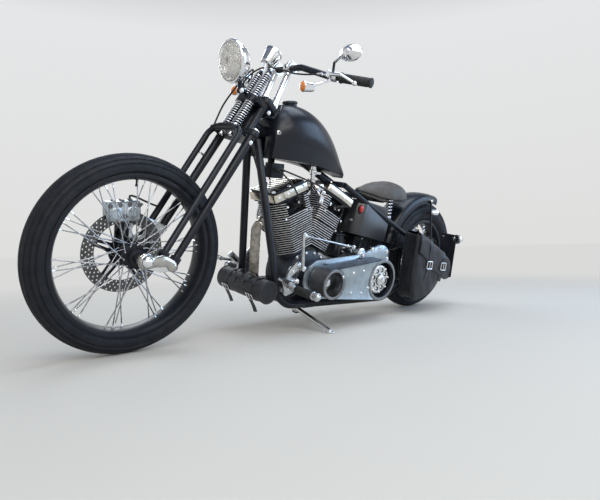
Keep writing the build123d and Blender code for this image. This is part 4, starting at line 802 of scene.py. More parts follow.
def spoke_ends(name):
    """Both ends of every spoke, from the hub's flange to the rim's well."""
    wheel = WHEELS[name]
    well, flange = wheel.well, wheel.flange
    step = 360 / SPOKES_A_SIDE
    lean_in = (wheel.flange_y - wheel.rim_y) / (well - flange) * 9.5
    for side in (-1, 1):
        for n in range(SPOKES_A_SIDE):
            leading = 1 if n % 2 else -1
            at_hub = radians(n * step + (step / 4) * side)
            at_rim = at_hub + leading * radians(SPOKE_CROSSING)
            y = side * (wheel.flange_y + leading * (4 + SPOKE_R + 0.3) + (lean_in if leading > 0 else 0))
            low = wheel.axle + Vector(((flange - 5) * cos(at_hub), y, (flange - 5) * sin(at_hub)))
            high = wheel.axle + Vector(((well - 0.6) * cos(at_rim), side * wheel.rim_y,
                                        (well - 0.6) * sin(at_rim)))
            yield low, high


def wheel_trim(name):
    """Spoke nipples and heads, the valve, the disc's bolts and the rim's dark edges."""
    wheel = WHEELS[name]
    axle, rim_half = wheel.axle, wheel.rim_half
    trim = Shape()
    for low, high in spoke_ends(name):
        way = (high - low).normalized()
        trim.lathe([(3.1, 0), (3.1, 5), (2.6, 6), (2.4, 15), (SPOKE_R, 17)], high, -way, 0, 8)
        trim.lathe([(3.6, -2.2), (3.6, -0.6), (2.2, 0.6)], low - way * 0.5, -way, 0, 8)
    at = axle + UP * wheel.well
    trim.lathe([(4.4, 0), (4.4, -3), (3.0, -4), (3.0, -16), (4.0, -17), (4.0, -24), (3.0, -25)], at, UP,
               1, 12)
    for at in ring_of(5, 36, axle.x, wheel.disc_y - 4, axle.z, 18):
        trim.screw(at, RIGHT, 5, 5)
    trim.make(name + "_wheel_trim", wheel.body, "chrome", "black_rubber")
    lines = Shape()
    edge = wheel.bead + 9
    for y in (-1, 1):
        lines.lathe([(edge - 0.4, 0), (edge + 0.9, 0.3), (edge + 1.2, 2), (edge + 0.7, 3.7),
                     (edge - 0.4, 4)], axle + LEFT * (y * rim_half if y > 0 else -rim_half - 4), LEFT, 0,
                    144, closed=True)
    lines.make(name + "_rim_edge", wheel.body, "satin_black_paint")


def drilled_cell(shape, axle, y, half, band, turn, width, hole):
    """One cell of a brake disc, with a round hole through its middle."""
    low, high = band
    middle = (low + high) / 2
    around = [(-1, -1), (-1, 0), (-1, 1), (0, 1), (1, 1), (1, 0), (1, -1), (0, -1)]
    layers = []
    for depth in (-half, half):
        outer, inner = [], []
        for u, v in around:
            r, a = middle + u * (high - low) / 2, turn + v * width / 2
            outer.append(axle + Vector((r * cos(a), y + depth, r * sin(a))))
            t = atan2(v, u)
            r, a = middle + hole * cos(t), turn + hole * sin(t) / middle
            inner.append(axle + Vector((r * cos(a), y + depth, r * sin(a))))
        layers += [outer, inner]
    faces = []
    for n in range(8):
        m = (n + 1) % 8
        faces += [[n, m, 8 + m, 8 + n], [16 + n, 16 + m, 24 + m, 24 + n], [8 + n, 8 + m, 24 + m, 24 + n]]
    shape.add([p for layer in layers for p in layer], faces, 0)


# The disc's drilled band: inner radius, rows of holes, step outwards, holes in a row, half thickness
DISC_LOW = 102.4
DISC_ROWS = 4
DISC_STEP = 10.8
DISC_HOLES = 44
DISC_HALF = 2.4


def brake_disc(name):
    """A drilled disc on a black carrier with five arms."""
    wheel = WHEELS[name]
    axle, y = wheel.axle, wheel.disc_y
    shape = Shape()
    for row in range(DISC_ROWS):
        low = DISC_LOW + row * DISC_STEP
        for n in range(DISC_HOLES):
            turn = TURN * (n + row % 2 / 2) / DISC_HOLES
            drilled_cell(shape, axle, y, DISC_HALF, (low, low + DISC_STEP), turn, TURN / DISC_HOLES, 3.1)
    for r in (DISC_LOW, DISC_LOW + DISC_ROWS * DISC_STEP):
        shape.lathe([(r, -DISC_HALF), (r, DISC_HALF)], axle + LEFT * y, LEFT, 0, 96, caps=False)
    shape.lathe([(31, -3.6), (52, -3.6), (52, 3.6), (31, 3.6)], axle + LEFT * y, LEFT, 1, 64, closed=True)
    for n in range(5):
        a = radians(n * 72 + 18)
        out, way = side_way(a), side_way(a + pi / 2)
        for lean in (-0.18, 0.18):
            foot, tip = out * 46 + way * lean * 60, out * 110 + way * lean * 40
            along = tip - foot
            shape.block(axle + (foot + tip) / 2 + LEFT * y, (along.length, 6.4, 11), along,
                        along.cross(LEFT), 1, 1)
        for side in (-1, 1):
            shape.lathe([(9, 0), (9, 1.4), (7, 2.4), (4, 2.6), (4, 1.4), (0, 1.4)],
                        axle + out * 107 + LEFT * (y + side * 3), (0, side, 0), 2, 20)
    shape.make(name + "_brake_disc", wheel.body, "disc_steel", "satin_black_paint", "dark_steel",
               slot="steel", replaces=[name + "_rotor"])


def hub_caps():
    """The rockers' castings with the front axle's nuts, and the rear axle's nuts and adjusters."""
    nuts = Shape()
    # The casting's spine: how far ahead of the axle, how far up the fork, and half its height there
    spine = ((26, 0, 3), (24, 0, 12), (17, 0, 20), (6, 0, 25), (-8, 3, 25), (-22, 9, 20), (-34, 18, 19),
             (-47, 28, 22), (-60, 34, 20), (-73, 37, 17), (-85, 36, 19), (-96, 33, 20), (-106, 30, 16),
             (-113, 28, 9), (-115.5, 27, 2))
    for side in (-1, 1):
        line = [fork_point(s, t, side * 113.5) for t, s, r in spine]
        rings = []
        for n, (t, s, r) in enumerate(spine):
            along = way_at(line, n)
            up = along.cross(LEFT)
            wide = 13.0 * (min(r, 22) / 22) ** 0.7
            rings.append([line[n] + up * r * cos(a) + LEFT * wide * sin(a) for a in turns(32)])
        nuts.rings(rings, 0)
        at = FRONT_AXLE + LEFT * (side * 108)
        nuts.lathe([(26, 0), (27, 1), (27, 8), (25.5, 9), (25.5, 10), (24, 13), (19, 16.6), (10, 18.6),
                    (0, 19)], at, (0, side, 0), 0, 48)
        for t, s, r in ((-47, 28, 10), (-96, 33, 9)):
            nuts.lathe([(r + 3, 0), (r + 3, 3), (r, 4), (r, 4.6), (r - 3, 6), (0, 6.6)],
                       fork_point(s, t, side * 120), (0, side, 0), 0, 28)
    nuts.make("rocker_castings", "fork", "nickel", sharp=50, slot="chrome")
    rear = Shape()
    for side in (-1, 1):
        rear.bolt(REAR_AXLE + LEFT * (side * 134), (0, side, 0), 15, 12)
        rear.block((-42, side * 129, REAR_AXLE.z + 2), (22, 8, 12), finish=0)
        rear.rod((-30, side * 129, REAR_AXLE.z + 2), (-62, side * 129, REAR_AXLE.z + 2), 3.4)
    rear.make("rear_axle_nuts", "frame", "chrome")


# Springer fork

# The springs' rods, and each pair's foot and top along the fork, radius and coils
ROD_T = -54.0
ROD_Y = 30.0
LOWER_SPRING = (602.0, 714.0, 20.0, 10)
UPPER_SPRING = (746.0, 852.0, 16.0, 10)


def helix(foot, top, radius, coils, steps=20):
    """A spring's centreline with a closed turn at each end."""
    first, second, along = basis(Vector(top) - Vector(foot))
    length = (Vector(top) - Vector(foot)).length
    total = coils + 2
    line = []
    for n in range(int(total * steps) + 1):
        turn = n / steps
        share = min(max((turn - 0.9) / (total - 1.8), 0), 1)
        rise = 2.6 + (length - 5.2) * share
        a = turn * TURN
        line.append(Vector(foot) + along * rise + (first * cos(a) + second * sin(a)) * radius)
    return line


def fork_springs():
    """Four chromed coil springs in place of plain sleeves, with their collars and the fork's nuts."""
    shape = Shape()
    for s0, s1, radius, coils in (LOWER_SPRING, UPPER_SPRING):
        wire = 2.6 if radius > 18 else 2.3
        for y in (-ROD_Y, ROD_Y):
            foot, top = fork_point(s0 + 0.3, ROD_T, y), fork_point(s1 - 0.3, ROD_T, y)
            shape.tube(helix(foot, top, radius - wire, coils), wire, 0, 8)
            shape.rod(foot, top, radius - 2 * wire - 0.8, 1)
    shape.make("fork_coils", "fork", "spring_chrome", "satin_black_paint", sharp=60, slot="chrome",
               replaces=["fork_springs"])
    caps = Shape()
    for y in (-ROD_Y, ROD_Y):
        for s, r in ((600.5, 21), (715.5, 21), (744.5, 16.5), (853, 16.5)):
            caps.lathe([(r - 1, -1.6), (r, -0.8), (r, 0.8), (r - 1, 1.6)], fork_point(s, ROD_T, y),
                       FORK_UP, 0, 32)
        caps.lathe([(9, 0), (9, 7), (7, 9), (6, 13), (0, 14)], fork_point(872, ROD_T, y), FORK_UP, 0, 6)
    for side in (-1, 1):
        for s, t in ((600, -96), (758, -96)):
            caps.screw(fork_point(s + 10, t, side * 60), FORK_UP, 9, 6)
        caps.lathe([(16, -1), (16, 5), (12, 9), (0, 10)], fork_point(612, -96, side * 103), FORK_UP, 0,
                   24)
    for side in (-1, 1):
        caps.lathe([(11, 0), (11, 9), (9, 11), (9, 26), (7, 28), (0, 29)],
                   fork_point(589, ROD_T, side * ROD_Y), -FORK_UP, 0, 24)
        for s in (560, 700):
            caps.bolt(fork_point(s, -96, side * (101 - (s - 560) * 0.02) + side * 17), (0, side, 0), 6, 5)
    caps.lathe([(22, 0), (22, 5), (17, 8), (17, 12), (0, 12)], fork_point(766.5, -115), FORK_UP, 0, 32)
    caps.lathe([(13, 12), (13, 19), (10, 21), (0, 21)], fork_point(766.5, -115), FORK_UP, 0, 6)
    caps.make("fork_caps", "fork", "chrome")


def spring_seat():
    """The arched plate across the spring legs that the lower springs stand on."""
    shape = Shape()
    section = ((-84, 2), (-80, 5), (-30, 5), (-26, 2), (-26, -3), (-30, -6), (-80, -6), (-84, -3))
    shape.rings([[fork_point(581 + 15 * (1 - (y / 84) ** 2) + rise, t, y) for t, rise in section]
                 for y in [84 * (n / 16 - 1) for n in range(33)]], 0)
    shape.make("spring_seat", "fork", "satin_black_paint", sharp=45)


def headlight():
    """A bullet lamp with a real bowl, bulb and glass."""
    front, back = fork_point(785.5, 95.0), fork_point(839.0, 33.0)
    length = (front - back).length
    r = 80.0
    way = (front - back).normalized()
    lamp = Shape()
    rear = [(0, 0.2), (14, 1.4), (28, 6), (42, 14), (54, 24), (64, 36), (70, 46), (74, length - 24)]
    lamp.lathe(rear + [(r - 4, length - 21), (r - 1, length - 19), (r, length - 16), (r, length - 6),
                       (r - 1.5, length - 3), (r - 4, length - 1.5), (r - 7, length - 1.8),
                       (r - 8, length - 4)], back, way, 0, 72, caps=False)
    lamp.lathe([(9, -3), (9, 1), (6, 2.4)], back, way, 0, 16)
    bowl = [(r - 8, length - 4), (r - 9, length - 8), (62, length - 24), (46, length - 36),
            (26, length - 44), (10, length - 47), (0.1, length - 47.5)]
    lamp.lathe(bowl, back, way, 1, 72, caps=False)
    lamp.lathe([(7, length - 47), (7, length - 36), (9, length - 34), (9, length - 26), (5, length - 22),
                (0, length - 21)], back, way, 2, 20)
    first, second, _ = basis(way)
    rim = back + way * (length - 12)
    for a in turns(4, pi / 4):
        out = (first * cos(a) + second * sin(a)) * (r - 0.6)
        lamp.bolt(rim + out, out, 3.2, 2.4)
    foot, knee = fork_point(748, -30), fork_point(734.8, -7.2)
    lamp.tube(rounded([foot, knee, fork_point(776, 28)], 16, 3), 9.5, 3, 18)
    lamp.lathe([(15, -3), (17, 0), (17, 7), (12, 13)], fork_point(773, 26),
               fork_point(785, 40) - fork_point(773, 26), 0, 28)
    for side in (LEFT, RIGHT):
        lamp.bolt(knee + side * 10, side, 7, 6)
    lamp.make("headlight_shell", "fork", "chrome", "reflector", "warm_glass", "satin_black_paint",
              sharp=50, replaces=["headlight"])
    glass = Shape()
    dome = [(r - 7.5, length - 3.5), (64, length + 1.5), (44, length + 5), (22, length + 7),
            (0.1, length + 7.6)]
    glass.lathe(dome, back, way, 0, 72, caps=False)
    glass.make("headlight_glass", "fork", "clear_glass", sharp=80, slot="chrome", solid=1.6)


def bar_point(back_from_end, side=1):
    """A point of the handlebar, some way in from its end; side is 1 on the left."""
    a, b = fork_point(927, -153.5, side * 235), fork_point(933, -210.5, side * 408)
    return b + (a - b).normalized() * back_from_end


def bar_trim():
    """Ribbed rubber grips, lever clamps' bolts, master cylinder, lenses and mirror glass."""
    rubber_parts, metal, lens, dark = Shape(), Shape(), Shape(), Shape()
    for side in (-1, 1):
        way = (bar_point(0, side) - bar_point(100, side)).normalized()
        outline = [(13, 0), (20, 0.5), (20.5, 5), (18, 7)]
        for n in range(16):
            h = 10 + n * 6.4
            outline += [(16.6, h), (17.6, h + 1.4), (17.6, h + 4), (16.6, h + 5.4)]
        outline += [(17, 121), (18.5, 123), (18.5, 127), (15, 129), (0, 129)]
        rubber_parts.lathe(outline, bar_point(125, side), way, 0, 28)
        perch = bar_point(156, side)
        for lift in (-1, 1):
            metal.screw(perch + Vector((16, side * 9 * lift, 9)), (1, 0, 0.3), 3.4, 3.4)
        metal.lathe([(10, -9), (10, 9), (8, 10.5), (0, 10.5)], perch + Vector((34, side * 6, 4)), UP, 0,
                    20)
        metal.bolt(perch + Vector((34, side * 6, 14)), UP, 5, 4)
        barrel_way = Vector((0.1, -side * 0.95, 0.05)).normalized()
        metal.lathe([(6, 0), (6, 8), (4.2, 9), (4.2, 17), (5.2, 18), (5.2, 22), (3, 24)],
                    perch + Vector((30, -side * 8, 2)), barrel_way, 0, 14)
        front, rear = fork_point(825.9, -97.2, side * 216), fork_point(849.8, -129.5, side * 226)
        ahead = (front - rear).normalized()
        lens.lathe([(19.4, -0.6), (18.6, 3), (15, 7), (8, 9.6), (0, 10.4)], front, ahead, 0, 32)
        metal.lathe([(20.6, -3), (20.8, -1), (20.4, 0.8), (19, 1.2)], front, ahead, 0, 32)
        head = Vector((MIRROR.x, side * MIRROR.y, MIRROR.z))
        back = Vector((1, side * 0.12, 0.1)).normalized()
        sideways = Vector((-back.y, back.x, 0)).normalized()
        upward = back.cross(sideways)
        rings = []
        for h, k in ((-7.4, 1.0), (-8.6, 0.985), (-8.6, 0.93), (-7.8, 0.91)):
            rings.append([head + back * h + (sideways * cos(a) * 47 + upward * sin(a) * 31) * k
                          for a in turns(48)])
        metal.rings(rings, 0, caps=False)
        dark.add(rings[-1], [list(range(48))], 0)
        metal.lathe([(8, 12), (9.4, 14), (9.4, 24), (7, 27)], head, back, 0, 20)
        riser_top = fork_point(945, -117, side * 42)
        for s in (-1, 1):
            for y in (-10, 10):
                metal.screw(riser_top + FORK_UP * 21 + FORK_AHEAD * (s * 15) + LEFT * y, FORK_UP, 4, 4)
    for s in (0.0, 1.0):
        metal.lathe([(25.4, -6), (26.2, -5), (26.2, 5), (25.4, 6)], fork_point(945, -117, 42 - 84 * s),
                    LEFT, 0, 32)
    reserve = bar_point(150, -1) + Vector((34, 2, 20))
    metal.block(reserve, (34, 62, 26), edge=4)
    metal.block(reserve + Vector((0, 0, 15)), (36, 64, 5), edge=1.5)
    for y in (-24, 24):
        metal.screw(reserve + Vector((0, y, 17)), UP, 3, 2)
    rubber_parts.make("bar_grips", "fork", "black_rubber", replaces=["grips"])
    metal.make("bar_fittings", "fork", "chrome")
    lens.make("indicator_lenses", "fork", "amber_lens", slot="chrome", sharp=60)
    dark.make("mirror_glass", "fork", "mirror", slot="chrome")


def gauge_face():
    """The little gauge: rim, pale blank dial with ticks, and its hand."""
    top, low = fork_point(959.8, -40.6), fork_point(897.7, -38)
    way = (top - low).normalized()
    shape = Shape()
    shape.lathe([(36.4, -5), (37, -2), (37, 1.5), (35, 3), (33, 2.4), (32.6, 0.2)], top, way, 0, 56,
                caps=False)
    shape.lathe([(33, 0.3), (0.1, 0.35)], top, way, 1, 48, caps=False)
    first, second, along = basis(way)
    for n in range(21):
        a = radians(-130 + n * 13)
        out = first * cos(a) + second * sin(a)
        long = 6 if n % 2 == 0 else 3.4
        shape.rod(top + along * 0.6 + out * (29 - long), top + along * 0.6 + out * 29, 0.5, 2, sides=4)
    hand = first * cos(-2.0) + second * sin(-2.0)
    shape.rod(top + along * 1.1 - hand * 5, top + along * 1.1 + hand * 22, 1.1, 3, 0.4, 6)
    shape.lathe([(3.6, 0.4), (3.6, 1.8), (0, 2)], top, way, 2, 16)
    shape.make("gauge_dial", "fork", "chrome", "dial_white", "dial_black", "dial_red")


def caliper_trim():
    """Bolts, bridge and banjo on the front caliper, and its brake hose's fitting."""
    shape = Shape()
    turn = Matrix.Rotation(radians(-84.0), 3, "Y")
    place = FRONT_AXLE.copy()

    def spot(radial, y, along):
        return place + turn @ Vector((radial, 0, along)) + LEFT * y

    out, ahead = turn @ Vector((1, 0, 0)), turn @ UP
    body = Shape()
    for y in (-47, -77):
        body.block(spot(144, y, 0), (70, 20, 120), out, ahead, 0, 7)
    body.block(spot(166, -62, 0), (24, 16, 104), out, ahead, 0, 5)
    for side, y in ((1, -37), (-1, -87)):
        for along in (-28, 28):
            body.lathe([(22, -2), (22, 1.4), (19, 3), (17, 3), (16, 1.6), (0, 1.6)], spot(138, y, along),
                       (0, side, 0), 0, 36)
        for along, lift in ((-50, 166), (-16, 168), (18, 168), (52, 164), (0, 128)):
            shape.screw(spot(lift, y, along), (0, side, 0), 6.5, 4)
    body.make("front_caliper_body", "fork", "satin_alloy", slot="polished_aluminium")
    for along in (-30, 0, 30):
        shape.rod(spot(181, -80, along), spot(181, -44, along), 3.2, 0)
    shape.lathe([(8, 0), (8, 8), (5, 10), (5, 16)], spot(158, -62, 60), turn @ Vector((0.3, 0, 1)), 0, 16)
    shape.make("front_caliper_bolts", "fork", "dark_steel", slot="steel")
    rear = Shape()
    for at in (Vector((-118, -107, REAR_AXLE.z + 74)), Vector((-88, -107, REAR_AXLE.z + 56))):
        rear.screw(at, RIGHT, 7, 5)
        rear.lathe([(15, -1), (15, 1.5), (12, 2.6), (12, 1), (0, 1)], at + Vector((-14, 0, -22)), RIGHT,
                   0, 28)
    rear.make("rear_caliper_bolts", "frame", "dark_steel", slot="steel")


# Engine

# The belt's inner and outer edge, the pulleys' radii and the chain's middle
BELT_Y0 = 162.0
BELT_Y1 = 238.0
FRONT_PULLEY_R = 63.0
CLUTCH_R = 94.0
FINAL_Y = 90.0


def up_cylinder(outer, x, y, z):
    """A place in a cylinder's own frame: outer is 1 for the front one and -1 for the rear one."""
    ahead, above = cylinder_ways(outer)
    return CRANK + ahead * x + LEFT * y + above * z


def fin_line(outer, half_y, level):
    """A fin's outline in its cylinder's frame, cut where the two cylinders meet, as close-set points."""
    w, d, big, small = 92.0, half_y, 45.0, 12.0
    quarter = [(w, d - big), (w - big, d), (small - w, d), (-w, d - small)]
    corners = [Vector((x * outer, y)) for x, y in quarter + [(x, -y) for x, y in reversed(quarter)]]
    limit = -level * tan(V_ANGLE) * outer
    kept = []
    for a, b in zip(corners, corners[1:] + corners[:1]):
        inside_a, inside_b = (a.x - limit) * outer >= 0, (b.x - limit) * outer >= 0
        if inside_a:
            kept.append(a)
        if inside_a != inside_b:
            kept.append(a.lerp(b, (limit - a.x) / (b.x - a.x)))
    points = []
    for a, b in zip(kept, kept[1:] + kept[:1]):
        count = max(1, round((b - a).length / 5))
        points += [(a.lerp(b, n / count), (b - a).normalized()) for n in range(count + 1)]
    return points


# A fin rim's section: how far out from the fin's outline, and how high from its middle
FIN_RIM = ((-5.0, -1.1), (-0.4, -1.3), (0.35, -0.7), (0.35, 0.7), (-0.4, 1.3), (-5.0, 1.1))


def fin_edges():
    """The bright machined rims of the cooling fins, open where the plug's room is cut out."""
    shape = Shape()
    for outer in (1, -1):
        for first, last, half_y in ((128.0, 240.0, CYLINDER_HALF), (240.0, 366.0, HEAD_HALF)):
            level = first + 6
            while level + 2.6 <= last:
                run = []
                for item in fin_line(outer, half_y, level + 1.3) + [None]:
                    cut = item is None
                    if not cut and level + 2.6 > 300:
                        cut = -57 < item[0].x * outer < 47 and abs(item[0].y) > 61
                    if cut:
                        if len(run) > 2:
                            fin_strip(shape, outer, run, level + 1.3)
                        run = []
                    else:
                        run.append(item)
                level += 10.0
    shape.make("fin_edges", "frame", "fin_edge", slot="black_engine_enamel", sharp=30)


def fin_strip(shape, outer, run, level):
    """One strip along a fin's rim, a little taller than the fin and just proud of it."""
    rings = []
    for spot, way in run:
        out = Vector((way.y, -way.x))
        if out.dot(spot) < 0:
            out = -out
        rings.append([up_cylinder(outer, *(spot + out * depth), level + rise) for depth, rise in FIN_RIM])
    shape.rings(rings, 0)


# X and Z of the crankcase's screws, from the crankshaft
CASE_SCREWS = ((-78, 78), (-34, 98), (16, 100), (70, 84), (100, 40), (108, -10), (98, -60), (-112, 30))


def engine_trim():
    """Cover bolts and ribs, spark plugs, pushrod collars and case screws."""
    bright, dark, boots, wire = Shape(), Shape(), Shape(), Shape()
    for outer in (1, -1):
        ahead, above = cylinder_ways(outer)
        for n in range(8):
            x = outer * 2 + (n - 3.5) * 21
            dark.block(up_cylinder(outer, x, 0, 417.8), (3.4, 146, 3.6), ahead, above, 0, 1.2)
        for x, y in ((-84, 74), (84, 74), (-84, -74), (84, -74), (0, 76), (0, -76)):
            bright.screw(up_cylinder(outer, outer * 2 + x, y, 417.5), above, 6, 5)
        for side in (-1, 1):
            for x in (-72, -24, 24, 72):
                bright.screw(up_cylinder(outer, outer * 2 + x, side * 88, 392), (0, side, 0), 4.2, 2.4)
            for x in (-60, 60):
                bright.bolt(up_cylinder(outer, x, side * 86, 300 if side < 0 else 292), (0, side, 0), 4,
                            3)
        spot = up_cylinder(outer, outer * -2, 82, 330)
        tip = (LEFT * 0.86 + above * 0.4 + ahead * outer * 0.2).normalized()
        bright.lathe([(9.5, -4), (9.5, 4), (8, 5)], spot, LEFT, 0, 6)
        boots.lathe([(9, 2), (9, 16), (7.6, 18), (7.6, 34), (6, 36), (4, 44)], spot, tip, 0, 16)
        coil = Vector((1138 + outer * 16, 56, 690))
        middle = (spot + tip * 46 + coil) / 2 + Vector((10 * outer, 46, 10))
        wire.tube(curved([spot + tip * 40, spot + tip * 62, middle, coil + Vector((0, 22, 2)), coil], 10),
                  3.6, 0, 8)
        boots.lathe([(7, 0), (7, 10), (4.6, 14), (4.2, 22)], coil - LEFT * 2, LEFT, 0, 14)
        for x, z, r in ((-34, 334, 9), (30, 336, 8)):
            y = 76 if x < 0 else 74
            bright.lathe([(r * 0.8, 0), (r * 0.8, 1.6), (r * 0.45, 2), (r * 0.45, 0.2), (0, 0.2)],
                         up_cylinder(outer, outer * x, y, z), LEFT, 0, 20)
        for offset in (-18, 18):
            low = up_cylinder(outer, offset - outer * 8, -109, 104.5)
            top = up_cylinder(outer, offset - outer * 4, -109, 347.5)
            way = (top - low).normalized()
            for share, r in ((0.0, 13.5), (0.42, 12), (0.5, 12), (0.955, 13.5)):
                at = low.lerp(top, share)
                bright.lathe([(10, 0), (r, 0.6), (r, 7), (r - 1, 8), (10, 8.4)], at, way, 0, 24)
    for x, z in CASE_SCREWS:
        bright.screw(CRANK + Vector((x, 74.5, z)), LEFT, 5.2, 4)
    for at in ring_of(6, 84, CRANK.x, -96, CRANK.z + 6, 10):
        bright.screw(at, RIGHT, 4.6, 4)
    for at in ring_of(5, 56, CRANK.x + 6, -119, CRANK.z + 34, 40):
        bright.screw(at + LEFT * 2, RIGHT, 4.6, 5)
    bright.lathe([(46, -2), (46, 1), (44, 3), (40, 3.4), (39, 2.2), (0, 2.2)],
                 CRANK + Vector((6, -124, 34)), RIGHT, 0, 56)
    bright.make("engine_bolts", "frame", "chrome")
    dark.make("rocker_lid_ribs", "frame", "satin_black_paint", slot="black_engine_enamel")
    boots.make("plug_boots", "frame", "black_rubber")
    wire.make("plug_leads", "frame", "black_rubber")


# The chromed bracket that stands out between the heads
BLOCK_AT = (904, 92, 598)


def intake():
    """The manifold and clamps between the heads, the carburettor's bowl and the air cleaner's cover."""
    bright, dark = Shape(), Shape()
    z = CRANK.z + 236
    for side in (1, -1):
        end = up_cylinder(side, side * -56, 30, 318)
        bright.tube(curved([(CRANK.x, 18, z + 40), (CRANK.x + side * 10, 26, z + 48), end], 8), 15, 0, 20)
        bright.lathe([(17, -6), (18.5, -5), (18.5, 5), (17, 6)], end, end - Vector((CRANK.x, 20, z + 44)),
                     0, 28)
        bright.bolt(end + LEFT * 21, LEFT, 5, 6)
    bright.tube([(CRANK.x, 20, z + 44), (CRANK.x, -30, z + 20)], 20, 0, 24)
    bright.lathe([(12, 0), (16, 2), (16, 16), (13, 20), (13, 30), (7, 33), (0, 33)],
                 (CRANK.x + 4, 24, z + 122), (0.1, 0.3, 1), 0, 24)
    bright.block((896, 60, 640), (30, 34, 34), edge=4)
    bright.lathe([(12, 0), (14, 2), (14, 15), (10, 18), (10, 26), (0, 27)], (884, 66, 600), (0.25, 0, 1),
                 0, 8)
    bright.bolt((896, 78, 640), LEFT, 8, 8)
    place = Vector(BLOCK_AT)
    bright.block(place, (24, 14, 60), (0.94, 0, 0.2), (-0.2, 0, 0.94), 0, 3)
    bright.rod(place - LEFT * 4, (914, 36, 640), 8)
    for lift in (-19, 19):
        bright.bolt(place + Vector((-lift * 0.2, 7, lift)), LEFT, 6, 5)
    cover = [(94.4, 0), (94.6, 6), (92, 8.4), (80, 9.5), (78.6, 10.6), (76, 12), (60, 14), (30, 15.6),
             (0.1, 16)]
    bright.lathe([(r, h - 6) for r, h in cover], (CRANK.x, -206, z), RIGHT, 0, 96, caps=False)
    for at in ring_of(3, 44, CRANK.x, -214.6, z, 90):
        bright.screw(at, RIGHT, 5, 3.4)
    for n in range(9):
        y = -162 - n * 4.6
        dark.lathe([(93.6, -1.4), (95, 0), (93.6, 1.4)], (CRANK.x, y, z), LEFT, 0, 96, caps=False,
                   closed=False)
    bright.make("intake_and_cover", "frame", "chrome")
    dark.make("air_filter_pleats", "frame", "black_rubber")


def loop_line(a, r0, b, r1, spacing):
    """A belt's line round circle a and circle b, as evenly spaced places with outward directions."""
    ahead = (a - b).normalized()
    side = Vector((-ahead.y, ahead.x))
    lift = asin((r0 - r1) / (a - b).length)
    places = []
    for centre, radius, start, end in ((a, r0, pi / 2 + lift, -pi / 2 - lift),
                                       (b, r1, -pi / 2 - lift, -3 * pi / 2 + lift)):
        for n in range(49):
            t = start + (end - start) * n / 48
            out = ahead * cos(t) + side * sin(t)
            places.append((centre + out * radius, out))
    places.append(places[0])
    total = sum((q[0] - p[0]).length for p, q in zip(places, places[1:]))
    count = round(total / spacing)
    result = []
    want, done = 0.0, 0.0
    for p, q in zip(places, places[1:]):
        length = (q[0] - p[0]).length
        while want <= done + length and len(result) < count:
            t = (want - done) / max(length, 1e-9)
            result.append((p[0].lerp(q[0], t), p[1].lerp(q[1], t).normalized()))
            want += total / count
        done += length
    return result


# X and Z of the guard plate's screws and of the motor plate's studs
GUARD_SCREWS = ((806, 290), (806, 202), (738, 296), (738, 196), (870, 276), (694, 216))
PLATE_STUDS = ((650, 345), (584, 372), (524, 378), (470, 360), (462, 324))


def primary_drive():
    """Belt with teeth inside and a ribbed back, clutch details, pulley nut and the guard's screws."""
    belt, bright, dark = Shape(), Shape(), Shape()
    outline = [(0, BELT_Y0), (0, BELT_Y0 + 2)]
    for n in range(8):
        y = BELT_Y0 + 4 + n * 9
        outline += [(0, y), (-1.0, y + 1.2), (-1.0, y + 2.6), (0, y + 3.8)]
    outline += [(0, BELT_Y1), (-6, BELT_Y1), (-6, BELT_Y0)]
    rings = []
    for place, out in loop_line(CRANK.xz, FRONT_PULLEY_R, CLUTCH.xz, CLUTCH_R, 7.0):
        spots = [(place + out * depth, y) for depth, y in outline]
        rings.append([(spot.x, y, spot.y) for spot, y in spots])
    belt.rings(rings, 0, closed=True)
    for place, out in loop_line(CRANK.xz, FRONT_PULLEY_R - 6, CLUTCH.xz, CLUTCH_R - 6, 14.0):
        along = Vector((out.y, 0, -out.x))
        spot = place - out * 1.2
        if (place - CRANK.xz).length > FRONT_PULLEY_R + 4 and (place - CLUTCH.xz).length > CLUTCH_R + 4:
            belt.block((spot.x, (BELT_Y0 + BELT_Y1) / 2, spot.y), (6, 74, 3), along, (out.x, 0, out.y), 0,
                       0.8)
    belt.make("belt_ribs", "frame", "belt_rubber", slot="black_rubber", sharp=30,
              replaces=["primary_belt"])
    y1 = BELT_Y1 + 1
    for at in ring_of(8, 44, CLUTCH.x, y1 - 22, CLUTCH.z, 15):
        bright.lathe([(6.5, 0), (6.5, 8), (5, 9.5), (3, 9.5), (3, 4), (0, 4)], at, LEFT, 0, 18)
    for at in ring_of(8, 60, CLUTCH.x, y1 - 11, CLUTCH.z, 37.5):
        bright.screw(at, LEFT, 4.4, 4.4)
    bright.bolt(CLUTCH + LEFT * (y1 + 5), LEFT, 11, 9)
    bright.lathe([(20, 0), (20, 3), (18, 4.2), (14, 4.4)], CLUTCH + LEFT * (y1 - 1), LEFT, 0, 36)
    for at in ring_of(16, 80, CLUTCH.x, y1 - 32, CLUTCH.z):
        dark.block(at, (9, 8, 5), at - CLUTCH - LEFT * (y1 - 32), LEFT, 0, 1)
    bright.bolt(CRANK + LEFT * (BELT_Y0 + 40), LEFT, 13, 11)
    for at in ring_of(6, 38, CRANK.x, BELT_Y0 + 12, CRANK.z):
        bright.screw(at, LEFT, 4, 4)
    for x, z in GUARD_SCREWS:
        bright.lathe([(6.4, -1), (6.4, 0.8), (4.8, 2.4), (1.6, 2.8), (1.4, 1.8), (0, 1.8)],
                     (x, BELT_Y1 + 7, z), LEFT, 0, 20)
    for x, z in PLATE_STUDS:
        bright.lathe([(11, -14), (11.5, -1), (11, 1.4), (8, 2), (8, 0.6), (0, 0.6)], (x, 158, z), LEFT, 0,
                     24)
        bright.screw((x, 158.4, z), LEFT, 5, 4)
    bright.make("drive_bolts", "frame", "chrome")
    dark.make("clutch_dogs", "frame", "dark_steel", slot="steel")


# Where the chain's rollers run on each sprocket, and its pitch
DRIVE_SPROCKET_R = 53.0
WHEEL_SPROCKET_R = 105.0
CHAIN_PITCH = 15.875


